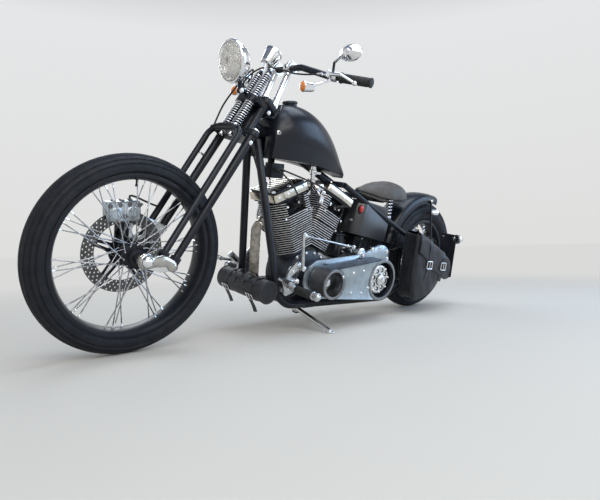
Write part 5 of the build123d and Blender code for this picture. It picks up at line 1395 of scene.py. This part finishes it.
def chain():
    """A roller chain: side plates and rollers round both sprockets, and the sprockets' teeth."""
    links, teeth, wheel_teeth = Shape(), Shape(), Shape()
    places = loop_line(CLUTCH.xz, DRIVE_SPROCKET_R, REAR_AXLE.xz, WHEEL_SPROCKET_R, CHAIN_PITCH)
    outline = [(cos(a), sin(a), end) for end in (0, 1)
               for a in [pi * (0.5 + end + k / 6) for k in range(7)]]
    for n, (place, _) in enumerate(places):
        after = places[(n + 1) % len(places)][0]
        here = Vector((place.x, FINAL_Y, place.y))
        along = Vector((after.x - place.x, 0, after.y - place.y))
        up = along.cross(LEFT).normalized()
        links.lathe([(5.0, -3.2), (5.0, 3.2)], here, LEFT, 0, 12)
        links.lathe([(2.4, -7.2), (2.4, 7.2)], here, LEFT, 0, 8)
        y = 4.0 if n % 2 else 5.7
        unit = along.normalized()
        for side in (-1, 1):
            links.rings([[here + unit * c * 6.6 + up * s * 6.2 + along * end + LEFT * side * (y + depth)
                          for c, s, end in outline] for depth in (0, 1.5)])
    links.make("chain_links", "frame", "dark_steel", slot="steel", replaces=["final_chain"])
    for shape, centre, inner, count in ((teeth, CLUTCH, 44.0, 21), (wheel_teeth, REAR_AXLE, 96.0, 41)):
        middle = Vector((centre.x, FINAL_Y, centre.z))
        for a in turns(count):
            shape.rings([[middle + side_way(a + k * wide * TURN / count) * r + LEFT * y
                          for k, y in ((-1, 2.6), (1, 2.6), (1, -2.6), (-1, -2.6))]
                         for r, wide in ((inner, 0.42), (inner + 3.4, 0.30), (inner + 6.5, 0.09))], 0)
    teeth.make("drive_sprocket_teeth", "frame", "dark_steel", slot="steel")
    wheel_teeth.make("wheel_sprocket_teeth", "rear_wheel", "black_anodised")
    nuts = Shape()
    for at in ring_of(5, 40, REAR_AXLE.x, FINAL_Y + 3.5, REAR_AXLE.z):
        nuts.bolt(at, LEFT, 6, 5)
    nuts.make("wheel_sprocket_bolts", "rear_wheel", "chrome")


# A wrapped pipe's radius, how far each turn of the wrap runs along it, and where the ports are
PIPE_R = 22.0
WRAP_LAP = 26.0
PORT = 274.0


def exhaust():
    """Both pipes with heat wrap laid on as overlapping turns, steel bands and open chromed ends."""
    wrap, metal = Shape(), Shape()
    routes = ([up_cylinder(1, 80, -42, PORT), up_cylinder(1, 124, -46, PORT - 12), (1122, -52, 300),
               (1082, -92, 200), (1020, -176, 166), (430, -196, 172), (180, -196, 196)],
              [up_cylinder(-1, -80, -60, PORT), up_cylinder(-1, -112, -86, PORT - 12), (712, -152, 396),
               (676, -196, 306), (560, -200, 262), (180, -196, 262)])
    for route in routes:
        line = rounded(route, 60, 3.0)
        run, length = [0.0], 0.0
        for a, b in zip(line, line[1:]):
            length += (b - a).length
            run.append(length)
        rings = []
        across = None
        for n, point in enumerate(line):
            if run[n] > length - 70:
                break
            along = way_at(line, n)
            across = across or basis(along)[0]
            across = (across - along * across.dot(along)).normalized()
            up = along.cross(across)
            ring = []
            for a in turns(28):
                turn = (run[n] / WRAP_LAP + a / TURN) % 1
                r = PIPE_R - 1.7 + 1.6 * min(turn * 1.3, 1) - (0.9 if turn > 0.94 else 0)
                ring.append(point + (across * cos(a) + up * sin(a)) * r)
            rings.append(ring)
        wrap.rings(rings, 0)
        end, way = line[-1], (line[-1] - line[-2]).normalized()
        metal.lathe([(20, -72), (20, -1), (19.4, 0), (17.6, 0), (17.2, -1), (17.2, -60), (0.1, -60)], end,
                    way, 0, 40, caps=False)
        for at in (0.02, 0.5, 0.955):
            k = min(range(len(run)), key=lambda n: abs(run[n] - at * (length - 70)))
            k = min(max(k, 1), len(line) - 2)
            way = (line[k + 1] - line[k - 1]).normalized()
            metal.lathe([(PIPE_R + 0.2, -4), (PIPE_R + 0.5, -3.4), (PIPE_R + 0.5, 3.4),
                         (PIPE_R + 0.2, 4)], line[k], way, 0, 36, closed=False, caps=False)
        metal.lathe([(30, 0), (30, 5), (27, 7), (22, 8)], line[0] + (line[1] - line[0]).normalized() * 6,
                    line[1] - line[0], 0, 32)
    wrap.make("wrapped_pipes", "frame", "exhaust_wrap", sharp=60, replaces=["exhaust_pipes"])
    metal.make("pipe_ends", "frame", "blued_steel", slot="steel")


# Seat, bags and body

# The saddle's sections: X, half width, then the heights of its foot, its widest line and its top
SEAT_SECTIONS = ((568, 14, 630, 640, 653), (520, 42, 616, 630, 664), (460, 76, 600, 616, 684),
                 (400, 103, 594, 610, 698), (340, 114, 594, 611, 704), (288, 104, 600, 617, 694),
                 (250, 74, 612, 628, 672))


def between(sections, x):
    """The section at a place along the machine, smoothly between the listed ones."""
    for a, b in zip(sections, sections[1:]):
        if a[0] >= x >= b[0]:
            t = (a[0] - x) / (a[0] - b[0])
            t = t * t * (3 - 2 * t) * 0.3 + t * 0.7
            return [p + (q - p) * t for p, q in zip(a[1:], b[1:])]
    return list(sections[-1][1:])


def saddle_ring(x):
    """One section of the saddle: over its crown, down one side, along below and up the other."""
    half, low, wide, top = between(SEAT_SECTIONS, x)
    half, top = half - 1.5, top - 1.5
    ring = []
    for k in range(40):
        a = pi * k / 39
        y = half * cos(a)
        dish = 0.0
        if 300 < x < 470:
            dish = 5.0 * sin((x - 300) / 170 * pi) * exp(-(y / 46) ** 2)
        ring.append(Vector((x, y, wide + (top - wide) * sin(a) ** 0.85 - dish)))
    skirt = [(half * (1 - 0.08 * sin(k / 9 * pi)), wide + (low - wide) * k / 9) for k in range(10)]
    ring += [Vector((x, -y, z)) for y, z in skirt[1:]]
    ring += [Vector((x, -half + 2 * half * k / 9, low)) for k in range(1, 9)]
    ring += [Vector((x, y, z)) for y, z in skirt[:0:-1]]
    return ring


def seat():
    """A crowned leather saddle: a padded top, a piped and stitched edge and a plain skirt below it."""
    skin, piping, thread, pan = Shape(), Shape(), Shape(), Shape()
    xs = [566 - n * 7.9 for n in range(40)]
    rings = [saddle_ring(x) for x in xs]
    first, last = rings[0], rings[-1]
    ends = []
    for ring, shift in ((first, 1.6), (last, -8.0)):
        middle = sum(ring, Vector()) / len(ring)
        ends.append([middle.lerp(p, 0.72) + Vector((shift, 0, 0)) for p in ring])
    skin.rings([ends[0]] + rings + [ends[1]], 0)
    widest = [(x, *between(SEAT_SECTIONS, x)) for x in xs]
    edge = [[Vector((x, side * (half - 1.2), wide + 0.4)) for x, half, _, wide, _ in widest]
            for side in (1, -1)]
    end, half, _, wide, _ = widest[-1]
    rear = [Vector((end - 7.5 * sin(a), half * cos(a), wide + 0.6))
            for a in [pi * n / 14 for n in range(1, 14)]]
    loop = edge[0] + rear + edge[1][::-1]
    piping.tube(loop, 2.6, 0, 8, closed=True)
    for n in range(len(loop) * 3):
        t = n / 3
        a, b = loop[int(t) % len(loop)], loop[(int(t) + 1) % len(loop)]
        if (b - a).length > 30:
            continue
        centre = a.lerp(b, t % 1)
        inward = Vector((0, -copysign(4.2, centre.y), 3.4))
        way = (b - a).normalized()
        thread.rod(centre + inward - way * 1.1, centre + inward + way * 1.1, 0.55, 0, sides=5)
    for y in (-24, 24):
        pan.block((430, y, 596), (150, 12, 7), edge=1.5)
    for x in (372, 452):
        pan.block((x, 0, 593), (16, 160, 6), edge=1.5)
    made = skin.make("saddle_leather", "frame", "brown_leather", sharp=70, replaces=["seat"], levels=1)
    piping.make("saddle_piping", "frame", "black_leather", sharp=70)
    thread.make("saddle_stitches", "frame", "thread", slot="brown_leather")
    pan.make("saddle_pan", "frame", "satin_black_paint")


# Where the saddle's springs stand
SPRING_X = 412
SPRING_Y = 90


def seat_springs():
    """Two plated coil springs on their tabs, and the saddle's hinged nose."""
    shape, mounts = Shape(), Shape()
    low = 658 + (REAR_AXLE.z + 14 - 658) * (760 - SPRING_X) / 760
    for side in (-1, 1):
        y = side * SPRING_Y
        foot, top = Vector((SPRING_X, y, low + 14)), Vector((SPRING_X, y, 608))
        shape.tube(helix(foot, top, 14.5, 5, 22), 3.1, 0, 8)
        mounts.rod((SPRING_X, y, low + 4), (SPRING_X, y, 606), 5)
        for at in (foot - UP * 6, top - UP * 2):
            mounts.lathe([(17, 0), (18, 1), (18, 4), (17, 5)], at, UP, 0, 28)
        mounts.bolt((SPRING_X, y, low - 2), -UP, 8, 7)
        mounts.block((SPRING_X, y + side * 7, low + 3), (30, 26, 6), edge=1.5)
    z = 658 + (REAR_AXLE.z + 6 - 658) * (760 - 662) / 760
    mounts.rod((658, 0, z + 4), (540, 0, 630), 8, 0)
    for y in (-1, 1):
        mounts.block((556, y * 13, 626), (40, 5, 22), (1, 0, 0.1), edge=1.5)
        mounts.bolt((552, y * 15.5, 626), (0, y, 0), 6, 5)
    shape.make("saddle_coils", "frame", "spring_chrome", slot="spring_steel", sharp=60,
               replaces=["seat_springs"])
    mounts.make("saddle_mounts", "frame", "satin_black_paint")


def strap(shape, line, wide, thick=2.6, finish=0, across=(0, 1, 0)):
    """A flat strap along a line, its width across one direction."""
    line = [Vector(p) for p in line]
    rings = []
    for n, p in enumerate(line):
        along = way_at(line, n)
        side = Vector(across)
        side = (side - along * side.dot(along)).normalized()
        up = along.cross(side)
        w, t = wide / 2, thick / 2
        ring = [(w - 1, -t), (w, 0), (w - 1, t), (1 - w, t), (-w, 0), (1 - w, -t)]
        rings.append([p + side * a + up * b for a, b in ring])
    shape.rings(rings, finish)


def buckle(shape, at, along, out, wide, high, finish=0, wire=1.9):
    """A square roller buckle with its tongue."""
    x = Vector(along).normalized()
    z = Vector(out).normalized()
    y = z.cross(x)
    at = Vector(at)
    corners = [(-1, -1), (1, -1), (1, 1), (-1, 1)]
    frame_line = rounded([at + x * high / 2 * a + y * wide / 2 * b for a, b in corners * 2][:5], 4, 2)
    shape.tube(frame_line, wire, finish, 8)
    shape.rod(at - x * high / 2, at + x * (high / 2 + 1) + z * 1.4, wire * 0.75, finish)


# The bag's side view as points of X and Z, its inner and outer faces and the radius between its sides
BAG = [(318, 464), (327, 370), (327, 290), (322, 190), (302, 124), (240, 118), (150, 142), (84, 196),
       (30, 256), (4, 314), (50, 344), (128, 388), (206, 418), (262, 446)]
BAG_IN = 146.3
BAG_OUT = BAG_IN + 94.0
BAG_CORNER = 24.0


def bag_outline(inset=0.0, steps=6):
    """The bag's side view as a smooth closed line of X and Z, drawn in towards its middle."""
    points = [Vector((x, 0, z)) for x, z in BAG]
    middle = sum(points, Vector()) / len(points)
    loop = curved([points[-1]] + points + points[:2], steps)[steps:-2 * steps]
    return [p - (p - middle).normalized() * inset for p in loop]


def crease(x, z):
    """How far soft folds push the bag's outer face out or in."""
    return 1.7 * sin(0.035 * x + 0.05 * z + 1.4 * sin(0.021 * z)) + 1.1 * sin(0.09 * x - 0.045 * z)


def bag_skin():
    """The bag's shell: a flat back, a pinched gusset, a rounded outer corner and a bulging face."""
    profile = [(26, BAG_IN + 1.2, 0), (10, BAG_IN + 2, 0), (3.5, BAG_IN + 6, 0)]
    side = BAG_OUT - BAG_CORNER - BAG_IN - 10
    profile += [(1.5 + 4.5 * sin(t * pi / 8), BAG_IN + 10 + side * t / 8, t / 16) for t in range(9)]
    for k in range(1, 8):
        a = pi / 2 * k / 7
        profile.append((1.5 + BAG_CORNER * (1 - cos(a)), BAG_OUT - BAG_CORNER + (BAG_CORNER - 2) * sin(a),
                        0.5 + k / 14))
    profile += [(inset, BAG_OUT + rise, 1.0)
                for inset, rise in ((36, 0), (50, 1.4), (66, 2.4), (84, 3), (102, 3.2))]
    return [[Vector((p.x, y + crease(p.x, p.z) * soft, p.z + crease(p.z, p.x + y) * 0.5))
             for p in bag_outline(inset)] for inset, y, soft in profile]


def flap_rows():
    """The flap's hinge line, and at each of its points a row from the bag's back over and down."""
    fold = [p for p in bag_outline(0.6) if p.x < 318 and p.z > 300 + (p.x - 4) * 0.35]
    fold.sort(key=lambda p: p.x)
    corner = BAG_OUT - BAG_CORNER
    rows = []
    for n, p in enumerate(fold):
        row = []
        for k in range(9):
            t = k / 8
            row.append(Vector((p.x, BAG_IN + 4 + (corner - BAG_IN - 4) * t,
                               p.z + 2.2 + 3.4 * sin(t * pi / 2))))
        for k in range(1, 8):
            a = pi / 2 * k / 7
            row.append(Vector((p.x, corner + (BAG_CORNER + 1.6) * sin(a),
                               p.z + 5.6 - (BAG_CORNER + 4) * (1 - cos(a)))))
        drop = 112 - 46 * abs(n / (len(fold) - 1) * 2 - 1.05) ** 2.4
        for k in range(1, 14):
            t = k / 13
            x, z = p.x + 5 * t, p.z - BAG_CORNER + 1.6 - drop * t
            row.append(Vector((x, BAG_OUT + 2.6 + 2.6 * sin(t * pi * 0.7) + crease(x, z) * 0.8, z)))
        rows.append(row)
    return fold, rows


def saddle_bag():
    """A soft leather bag: bulging face, pinched gusset with welts, a flap, two straps and buckles."""
    skin, welt, flap, straps, metal, thread = Shape(), Shape(), Shape(), Shape(), Shape(), Shape()
    skin.rings(bag_skin(), 0)
    for y, inset in ((BAG_IN + 6, 2.0), (BAG_OUT - BAG_CORNER + 5, 1.2)):
        welt.tube([Vector((p.x, y, p.z)) for p in bag_outline(inset)], 2.7, 0, 8, closed=True)
    fold, rows = flap_rows()
    wide = len(rows[0])
    faces = [[a * wide + n, a * wide + n + 1, (a + 1) * wide + n + 1, (a + 1) * wide + n]
             for a in range(len(rows) - 1) for n in range(wide - 1)]
    flap.add([p for row in rows for p in row], faces)
    welt.tube(rows[0][8:] + [row[-1] for row in rows[1:-1]] + rows[-1][8:][::-1], 2.0, 0, 6)
    for x, drop in ((78, 70), (212, 122)):
        z = min(fold, key=lambda p: abs(p.x - x)).z
        y = BAG_OUT + 7.4
        line = [(x, BAG_IN + 14, z + 8), (x, BAG_OUT - 30, z + 9), (x, BAG_OUT - 8, z + 3),
                (x + 1, BAG_OUT + 5.5, z - 22), (x + 4, y, z - drop * 0.57), (x + 8, y, z - drop - 12),
                (x + 14, BAG_OUT + 4.6, z - drop - 48), (x + 22, BAG_OUT + 3.4, z - drop - 80)]
        strap(straps, curved(line, 6), 28, 2.6, 0, (1, 0, 0))
        buckle(metal, (x + 7, y + 2.6, z - drop), (0.06, 0, -1), LEFT, 46, 38, wire=2.4)
        strap(straps, [(x + 5, y + 1.6, z - drop + 24), (x + 5.6, y + 1.8, z - drop + 16)], 36, 5, 0,
              (1, 0, 0))
        for n in range(4):
            metal.lathe([(2.4, 0), (2.4, 0.8), (0, 1.2)],
                        (x + 9.5 + n * 1.2, y - 0.6 - n * 0.5, z - drop - 18 - n * 12), LEFT, 1, 10)
    for row_a, row_b in zip(rows[1:-2], rows[2:-1]):
        for t in (0.1, 0.6):
            p = row_a[-3].lerp(row_b[-3], t) + LEFT * 1.2
            way = (row_b[-3] - row_a[-3]).normalized()
            thread.rod(p - way * 1.6, p + way * 1.6, 0.6, 0, sides=5)
    made = skin.make("bag_leather", "frame", "black_leather", sharp=75, replaces=["saddle_bag"], levels=1)
    flap.make("bag_flap", "frame", "black_leather", sharp=75, solid=2.4, levels=1)
    welt.make("bag_welts", "frame", "black_leather", sharp=75)
    straps.make("bag_straps", "frame", "black_leather", sharp=50)
    metal.make("bag_buckles", "frame", "chrome", "dark_steel", slot="chrome")
    thread.make("bag_stitches", "frame", "thread", slot="black_leather")


# The fender's middle and radius, where it starts and how far it sweeps in degrees, and its sections
FENDER_AT = Vector((25.0, 0.0, REAR_AXLE.z))
FENDER_R = 352.0
FENDER_START = 14
FENDER_SWEEP = 88
FENDER_STEPS = 60


def fender_way(n):
    """The direction of the fender's nth section from the fender's middle."""
    return side_way(radians(FENDER_START + FENDER_SWEEP * n / FENDER_STEPS))


def fender():
    """A round-shouldered fender with rolled edges, its struts and the two small lamps on them."""
    shell, metal, red = Shape(), Shape(), Shape()
    half = [(301, 78), (312, 78.4), (322, 78), (331, 75.5), (338, 69.5), (343.4, 61), (347.6, 50),
            (350.4, 36), (351.6, 18)]
    outside = half + [(FENDER_R, 0)] + [(r, -y) for r, y in reversed(half)]
    inside = [(r - 3 if abs(y) < 60 else r, y * (1 - 3 / 78)) for r, y in reversed(outside)]
    rings = []
    for n in range(FENDER_STEPS + 1):
        rings.append([FENDER_AT + fender_way(n) * r + LEFT * y for r, y in outside + inside])
    shell.rings(rings, 0)
    for side in (-1, 1):
        edge = [FENDER_AT + fender_way(n) * 301.5 + LEFT * side * 77 for n in range(FENDER_STEPS + 1)]
        shell.tube(edge, 2.7, 0, 8)
    for n in (0, FENDER_STEPS):
        shell.tube([FENDER_AT + fender_way(n) * (r - 1.5) + LEFT * (y * 0.985) for r, y in outside], 2.6,
                   0, 8)
    lamp_z = 558.4
    for side in (-1, 1):
        top, foot = Vector((29, side * 84, 620.4)), Vector((26, side * 126, 336.4))
        metal.tube([foot, foot.lerp(top, 0.04), foot.lerp(top, 0.96), top], [7, 6, 6, 7], 1, 20)
        metal.lathe([(9, -5), (9, 8), (7.6, 9.6), (0, 10)], top, (0, side, 0), 0, 24)
        metal.bolt(foot + LEFT * (side * 5), (0, side, 0), 8, 6)
        y = foot.y + (top.y - foot.y) * (lamp_z - foot.z) / (top.z - foot.z)
        metal.lathe([(0.1, -1), (10, 0), (14.4, 3), (15, 8), (16.6, 50), (17.6, 51), (17.6, 56),
                     (16.4, 57.4)], (31, y, lamp_z), (-1, 0, 0), 0, 40, caps=False)
        red.lathe([(16.4, 0), (15, 2.6), (9, 5.4), (0, 6.4)], (-26, y, lamp_z), (-1, 0, 0), 0, 32)
    shell.make("fender_shell", "frame", "tank_black", slot="satin_black_paint", sharp=50,
               replaces=["rear_fender"])
    metal.make("fender_struts", "frame", "chrome", "satin_black_paint")
    red.make("side_lamp_lenses", "frame", "red_lens", slot="chrome", sharp=60)


# The tool roll's middle, radius, and the Y of its ends and of the straps round it
ROLL_AT = Vector((1184, 0, 206))
ROLL_R = 47.0
ROLL_ENDS = (-156, 136)
ROLL_STRAPS = (-96, 70)


def tool_roll():
    """A leather tool roll: a lapped barrel with stitched ends, two straps, buckles and loose tails."""
    centre, r = ROLL_AT, ROLL_R
    skin, ends, straps, metal, thread = Shape(), Shape(), Shape(), Shape(), Shape()
    rings = []
    for n in range(61):
        t = n / 60
        y = ROLL_ENDS[0] + (ROLL_ENDS[1] - ROLL_ENDS[0]) * t
        squeeze = sum(exp(-((y - s) / 12) ** 2) for s in ROLL_STRAPS) * 3.0
        sag = 1.6 * sin(t * pi)
        ring = []
        for a in turns(56):
            lap = 1.9 if 0.03 < ((a / TURN) + 0.18) % 1 < 0.36 else 0.0
            ripple = 0.7 * sin(9 * a + 5 * t) * sin(13 * t + a)
            k_r = r - squeeze + lap + ripple - 1.5
            ring.append(centre + side_way(a) * k_r + LEFT * y - UP * sag)
        rings.append(ring)
    skin.rings(rings, 0)
    for side, y in ((1, ROLL_ENDS[1]), (-1, ROLL_ENDS[0])):
        ends.lathe([(r - 1, -5), (r + 0.8, -3), (r + 1.2, 0), (r - 1, 2.4), (r - 5, 1.4), (r - 9, 2.2),
                    (18, 3.4), (0.1, 3.6)], centre + LEFT * y, (0, side, 0), 0, 64, caps=False)
        for a in turns(44):
            out, way = side_way(a), side_way(a + pi / 2)
            p = centre + out * (r - 5) + LEFT * (y + side * 2.2)
            thread.rod(p - way * 1.7, p + way * 1.7, 0.6, 0, sides=5)
    for y in ROLL_STRAPS:
        loop = [centre + Vector(((r + 0.4) * cos(a), y, (r + 0.4) * sin(a)))
                for a in turns(48) + [TURN]]
        strap(straps, loop, 30, 2.6, 0)
        a = radians(-34)
        out = side_way(a)
        down = side_way(a - pi / 2)
        at = centre + out * (r + 3.4) + LEFT * y
        buckle(metal, at, down, out, 38, 26, wire=2.2)
        tail = [at + down * 8, at + down * 24 + out * 1, at + down * 40 + Vector((-2, 4, -8)),
                at + down * 46 + Vector((-6, 12, -26))]
        strap(straps, curved(tail, 6), 26, 2.4, 0)
    for y in (-40, 20):
        over = [(1232, y, 212), (1222, y, 244), (1196, y, 262), (1160, y, 254), (1146, y, 232)]
        strap(straps, curved(over, 6), 18, 2.4, 0)
    made = skin.make("tool_roll_leather", "frame", "black_leather", sharp=70, replaces=["tool_roll"])
    ends.make("tool_roll_ends", "frame", "black_leather", sharp=60)
    straps.make("tool_roll_straps", "frame", "black_leather", sharp=50)
    metal.make("tool_roll_buckles", "frame", "chrome")
    thread.make("tool_roll_stitches", "frame", "thread", slot="black_leather")


# The tail lamp's back, the number plate's middle and the oil tank's side lamp
TAIL_LAMP = Vector((-166, 190, REAR_AXLE.z + 116))
PLATE_AT = Vector((-122, 139, REAR_AXLE.z + 16))
SIDE_LAMP = Vector((644, 106, 556))


def battery_box():
    """The battery box, tray and filter below the oil tank, and the gearbox's screwed lid."""
    box = Shape()
    for at, size, finish, edge in (((708, 0, 372), (54, 110, 100), 0, 4),
                                   ((708, 0, 426), (58, 114, 10), 0, 2),
                                   ((708, 57, 372), (14, 3, 100), 1, 1),
                                   ((500, 6, 380), (222, 110, 86), 0, 5)):
        box.block(at, size, finish=finish, edge=edge)
    for n in range(7):
        box.block((404 + n * 32, 61, 380), (9, 6, 74), edge=2)
    for z in (352, 408):
        box.block((500, 6, z), (228, 120, 9), edge=2)
    box.lathe([(34, 0), (36, 2), (36, 62), (33, 68), (20, 72), (0, 72)], (606, -24, 330), UP, 0, 40)
    box.make("battery_box", "frame", "satin_black_paint", "black_rubber")
    lid = Shape()
    lid.block((628, -6, 301), (168, 128, 42), edge=6)
    for x in (556, 604, 652, 700):
        for y in (-58, 20):
            lid.screw((x, y, 321), UP, 5, 4)
    lid.make("gearbox_lid", "frame", "cast_aluminium", slot="polished_aluminium")


def body_trim():
    """Tank cap and tap, oil tank fittings, hoses, lamps, the plate's bolts and rim, and coil fins."""
    metal, red, dark, hose = Shape(), Shape(), Shape(), Shape()
    cap_at, cap_way = Vector((1066, 0, 976)), Vector((0.16, 0, 1))
    metal.lathe([(30, -8), (32, -6), (32, -1), (30.5, 2), (26, 4.5), (14, 6.5), (0.1, 7)], cap_at,
                cap_way, 1, 56, caps=False)
    first, second, along = basis(cap_way)
    for a in turns(24):
        out = first * cos(a) + second * sin(a)
        metal.rod(cap_at + out * 31.8 - along * 5.6, cap_at + out * 31.8 - along * 1.2, 1.3, 1, sides=6)
    for side in (-1, 1):
        metal.screw((1176, side * 84, 836), (0.3, side, 0.1), 7, 5)
    metal.lathe([(12, 0), (12, 14), (16, 16), (16, 34), (11, 38), (11, 54), (15, 56), (15, 70), (7, 74)],
                (941, 60, 724), (0, 0, -1), 0, 24)
    metal.rod((941, 60, 698), (941, 88, 698), 5, 0)
    metal.block((941, 92, 698), (28, 6, 12), edge=2)
    hose.tube(curved([(941, 60, 660), (940, 56, 636), (934, 20, 600), (926, -40, 560), (921, -112, 520)],
                     8), 5, 0, 10)
    slope = Vector((1, 0, 0.167)).normalized()
    up = Vector((-0.167, 0, 1)).normalized()
    metal.lathe([(20, 0), (20, 10), (17, 13), (0, 14)], Vector((600, 62, 583)), up, 0, 32)
    for y in (-70, 70):
        metal.bolt(Vector((664, y, 500)), slope, 6, 4)
    way = Vector((0.4, 0.9, 0.05)).normalized()
    across = Vector((way.y, -way.x, 0)).normalized()
    glass = (red, 0, 1.0, ((-4, 1), (4, 1), (8, 0.85), (10.4, 0.5), (11.4, 0.02)))
    rim = (metal, 1, 1.16, ((-8, 0.9), (-7, 1), (1, 1), (2.4, 0.92)))
    for shape, finish, scale, outline in (glass, rim):
        shape.rings([[SIDE_LAMP + way * h
                      + (across * 11 * cos(a) + UP * 17 * sin(a)) * k * scale for a in turns(32)]
                     for h, k in outline], finish)
    for x, y, end in ((560, 58, (700, 60, 320)), (600, -60, (700, -84, 300)), (520, 40, (812, 86, 250))):
        start = Vector((x, y, 424))
        mid = (start + Vector(end)) / 2 + Vector((-20, 20 if y > 0 else -20, -20))
        hose.tube(curved([start, start - Vector((0, 0, 30)), mid, end], 8), 6.5, 0, 12)
        metal.lathe([(8.4, -4), (8.8, -3), (8.8, 3), (8.4, 4)], start - Vector((0, 0, 16)), UP, 0, 20)
    lamp = TAIL_LAMP
    metal.lathe([(16, 0.2), (17.4, 1), (19, 8), (26.4, 36), (27, 41), (26, 44.5), (19, 47.5), (9, 49),
                 (0, 49.4)], lamp, (1, 0, 0), 0, 48)
    red.lathe([(15.4, 0), (13, -0.6), (0, -0.8)], lamp + Vector((1.2, 0, 0)), (1, 0, 0), 0, 32)
    board = PLATE_AT
    for y in (-32, 32):
        for z in (-104, 104):
            for side in (1, -1):
                metal.lathe([(4.6, 0), (4.6, 1.2), (3, 2.2), (0, 2.4)], board + Vector((3 * side, y, z)),
                            (side, 0, 0), 0, 14)
    rim = [board + Vector((0, y, z)) for y, z in ((-45, -119), (45, -119), (45, 119), (-45, 119))]
    dark.tube(rounded(rim + rim[:1], 8, 4), 3.4, 0, 8)
    for n in range(7):
        z = 659 + n * 7.4
        dark.block((1138, 34, z), (68, 48, 2.6), edge=0.8)
    metal.bolt((1138, 13, 800), LEFT, 6, 5)
    metal.make("body_fittings", "frame", "chrome", "satin_black_paint")
    red.make("red_lamps", "frame", "red_lens", slot="chrome", sharp=60)
    dark.make("coil_fins_and_plate_rim", "frame", "satin_black_paint")
    hose.make("oil_and_fuel_lines", "frame", "black_rubber")


def controls():
    """Rings and ends on the pegs, toe rubbers, the linkage's pivots and the brackets' screws."""
    metal, rubber_parts = Shape(), Shape()
    for side in (-1, 1):
        for n in range(9):
            rubber_parts.lathe([(14, -5.4), (17, -4.4), (17, 3.4), (14, 4.4)],
                               (1078, side * (190 + n * 10.4), 222), LEFT, 0, 32)
        metal.lathe([(14, -3), (16.8, -2), (16.8, 1), (14, 3)], (1078, side * 284, 222), LEFT, 0, 32)
        for n in range(5):
            y = side * (208 + n * 11)
            rubber_parts.lathe([(8.2, -4.4), (9.6, -3), (9.6, 3), (8.2, 4.4)], (1186 + n * 0.2, y, 275),
                               LEFT, 0, 24)
        for x, z in ((1100, 216), (1116, 250), (1060, 318), (1084, 292)):
            metal.screw((x, side * 160, z), (0, side, 0), 5, 4)
        metal.bolt((1104, side * 206, 262), (0, side, 0), 9, 6)
    for x, y, z in ((1048, 184, 306), (1064, 182, 443), (727, 160, 385)):
        metal.bolt((x, y, z), LEFT, 8, 6)
    for at, along in (((1040, 164, 438), (-0.98, -0.05, -0.17)), ((750, 152, 389), (0.98, 0.05, 0.17))):
        metal.lathe([(5, 0), (7.5, 2), (7.5, 12), (5.6, 14), (5.6, 26), (5, 28)], at, along, 0, 6)
    metal.make("control_bolts", "frame", "chrome")
    rubber_parts.make("toe_rubbers", "frame", "black_rubber")


def cables():
    """Clutch and throttle cables fixed in place, and the brake hose, which rides on the fork."""
    clutch = [bar_point(163, 1) + Vector((30, -26, 6)), bar_point(200, 1) + Vector((34, -46, -2)),
              (1142, 96, 1072), (1178, 34, 1086), (1226, -8, 1080), (1270, -34, 1036), (1284, -50, 980),
              fork_point(690, -92, -58), (1226, -44, 800), (1208, 10, 690), (1178, 50, 560),
              (1150, 76, 420), (1124, 96, 300), (1092, 110, 206), (1030, 104, 166), (970, 84, 186)]
    throttle = [bar_point(150, -1) + Vector((8, 10, -16)), bar_point(210, -1) + Vector((16, 40, -12)),
                fork_point(900, -86, -70), fork_point(820, -120, -50), (1196, -50, 900),
                (1130, -128, 800), (1010, -136, 640), (940, -150, 540)]
    for name, points in (("clutch_cable", clutch), ("throttle_cable", throttle)):
        shape = Shape()
        shape.tube(curved(points, 14), 3.4, 0, 8)
        for end, after in ((points[0], points[1]), (points[-1], points[-2])):
            way = (Vector(after) - Vector(end)).normalized()
            shape.lathe([(5, -2), (5.4, 0), (5.4, 16), (4, 20)], end, way, 1, 10)
        piece = shape.make(name, None, "black_rubber", "chrome", sharp=60)
        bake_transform(piece)
    hose = Shape()
    line = [bar_point(150, -1) + Vector((20, 40, 16)), fork_point(900, -60, -110),
            fork_point(820, -36, -90), fork_point(700, -40, -116), fork_point(560, -62, -120),
            fork_point(420, -62, -122), fork_point(260, -60, -116), fork_point(210, -40, -100),
            FRONT_AXLE + Vector((-20, -76, 196)), FRONT_AXLE + Vector((-26, -62, 158))]
    hose.tube(curved(line, 12), 3.6, 0, 8)
    for s in (480, 360):
        at = fork_point(s, -62, -121)
        hose.lathe([(5, -5), (6, -4), (6, 4), (5, 5)], at, FORK_UP, 1, 12)
        hose.block(fork_point(s, -78, -112), (8, 26, 6), FORK_UP, RIGHT, 1, 1)
    hose.make("brake_hose", "fork", "black_rubber", "chrome", sharp=60)


camera()
studio()
dress_nodes()
for wheel in ("front", "rear"):
    tyre(wheel)
    wheel_trim(wheel)
    brake_disc(wheel)
hub_caps()
fork_springs()
spring_seat()
headlight()
bar_trim()
gauge_face()
caliper_trim()
fin_edges()
engine_trim()
intake()
primary_drive()
chain()
exhaust()
seat()
seat_springs()
saddle_bag()
fender()
tool_roll()
battery_box()
body_trim()
controls()
cables()
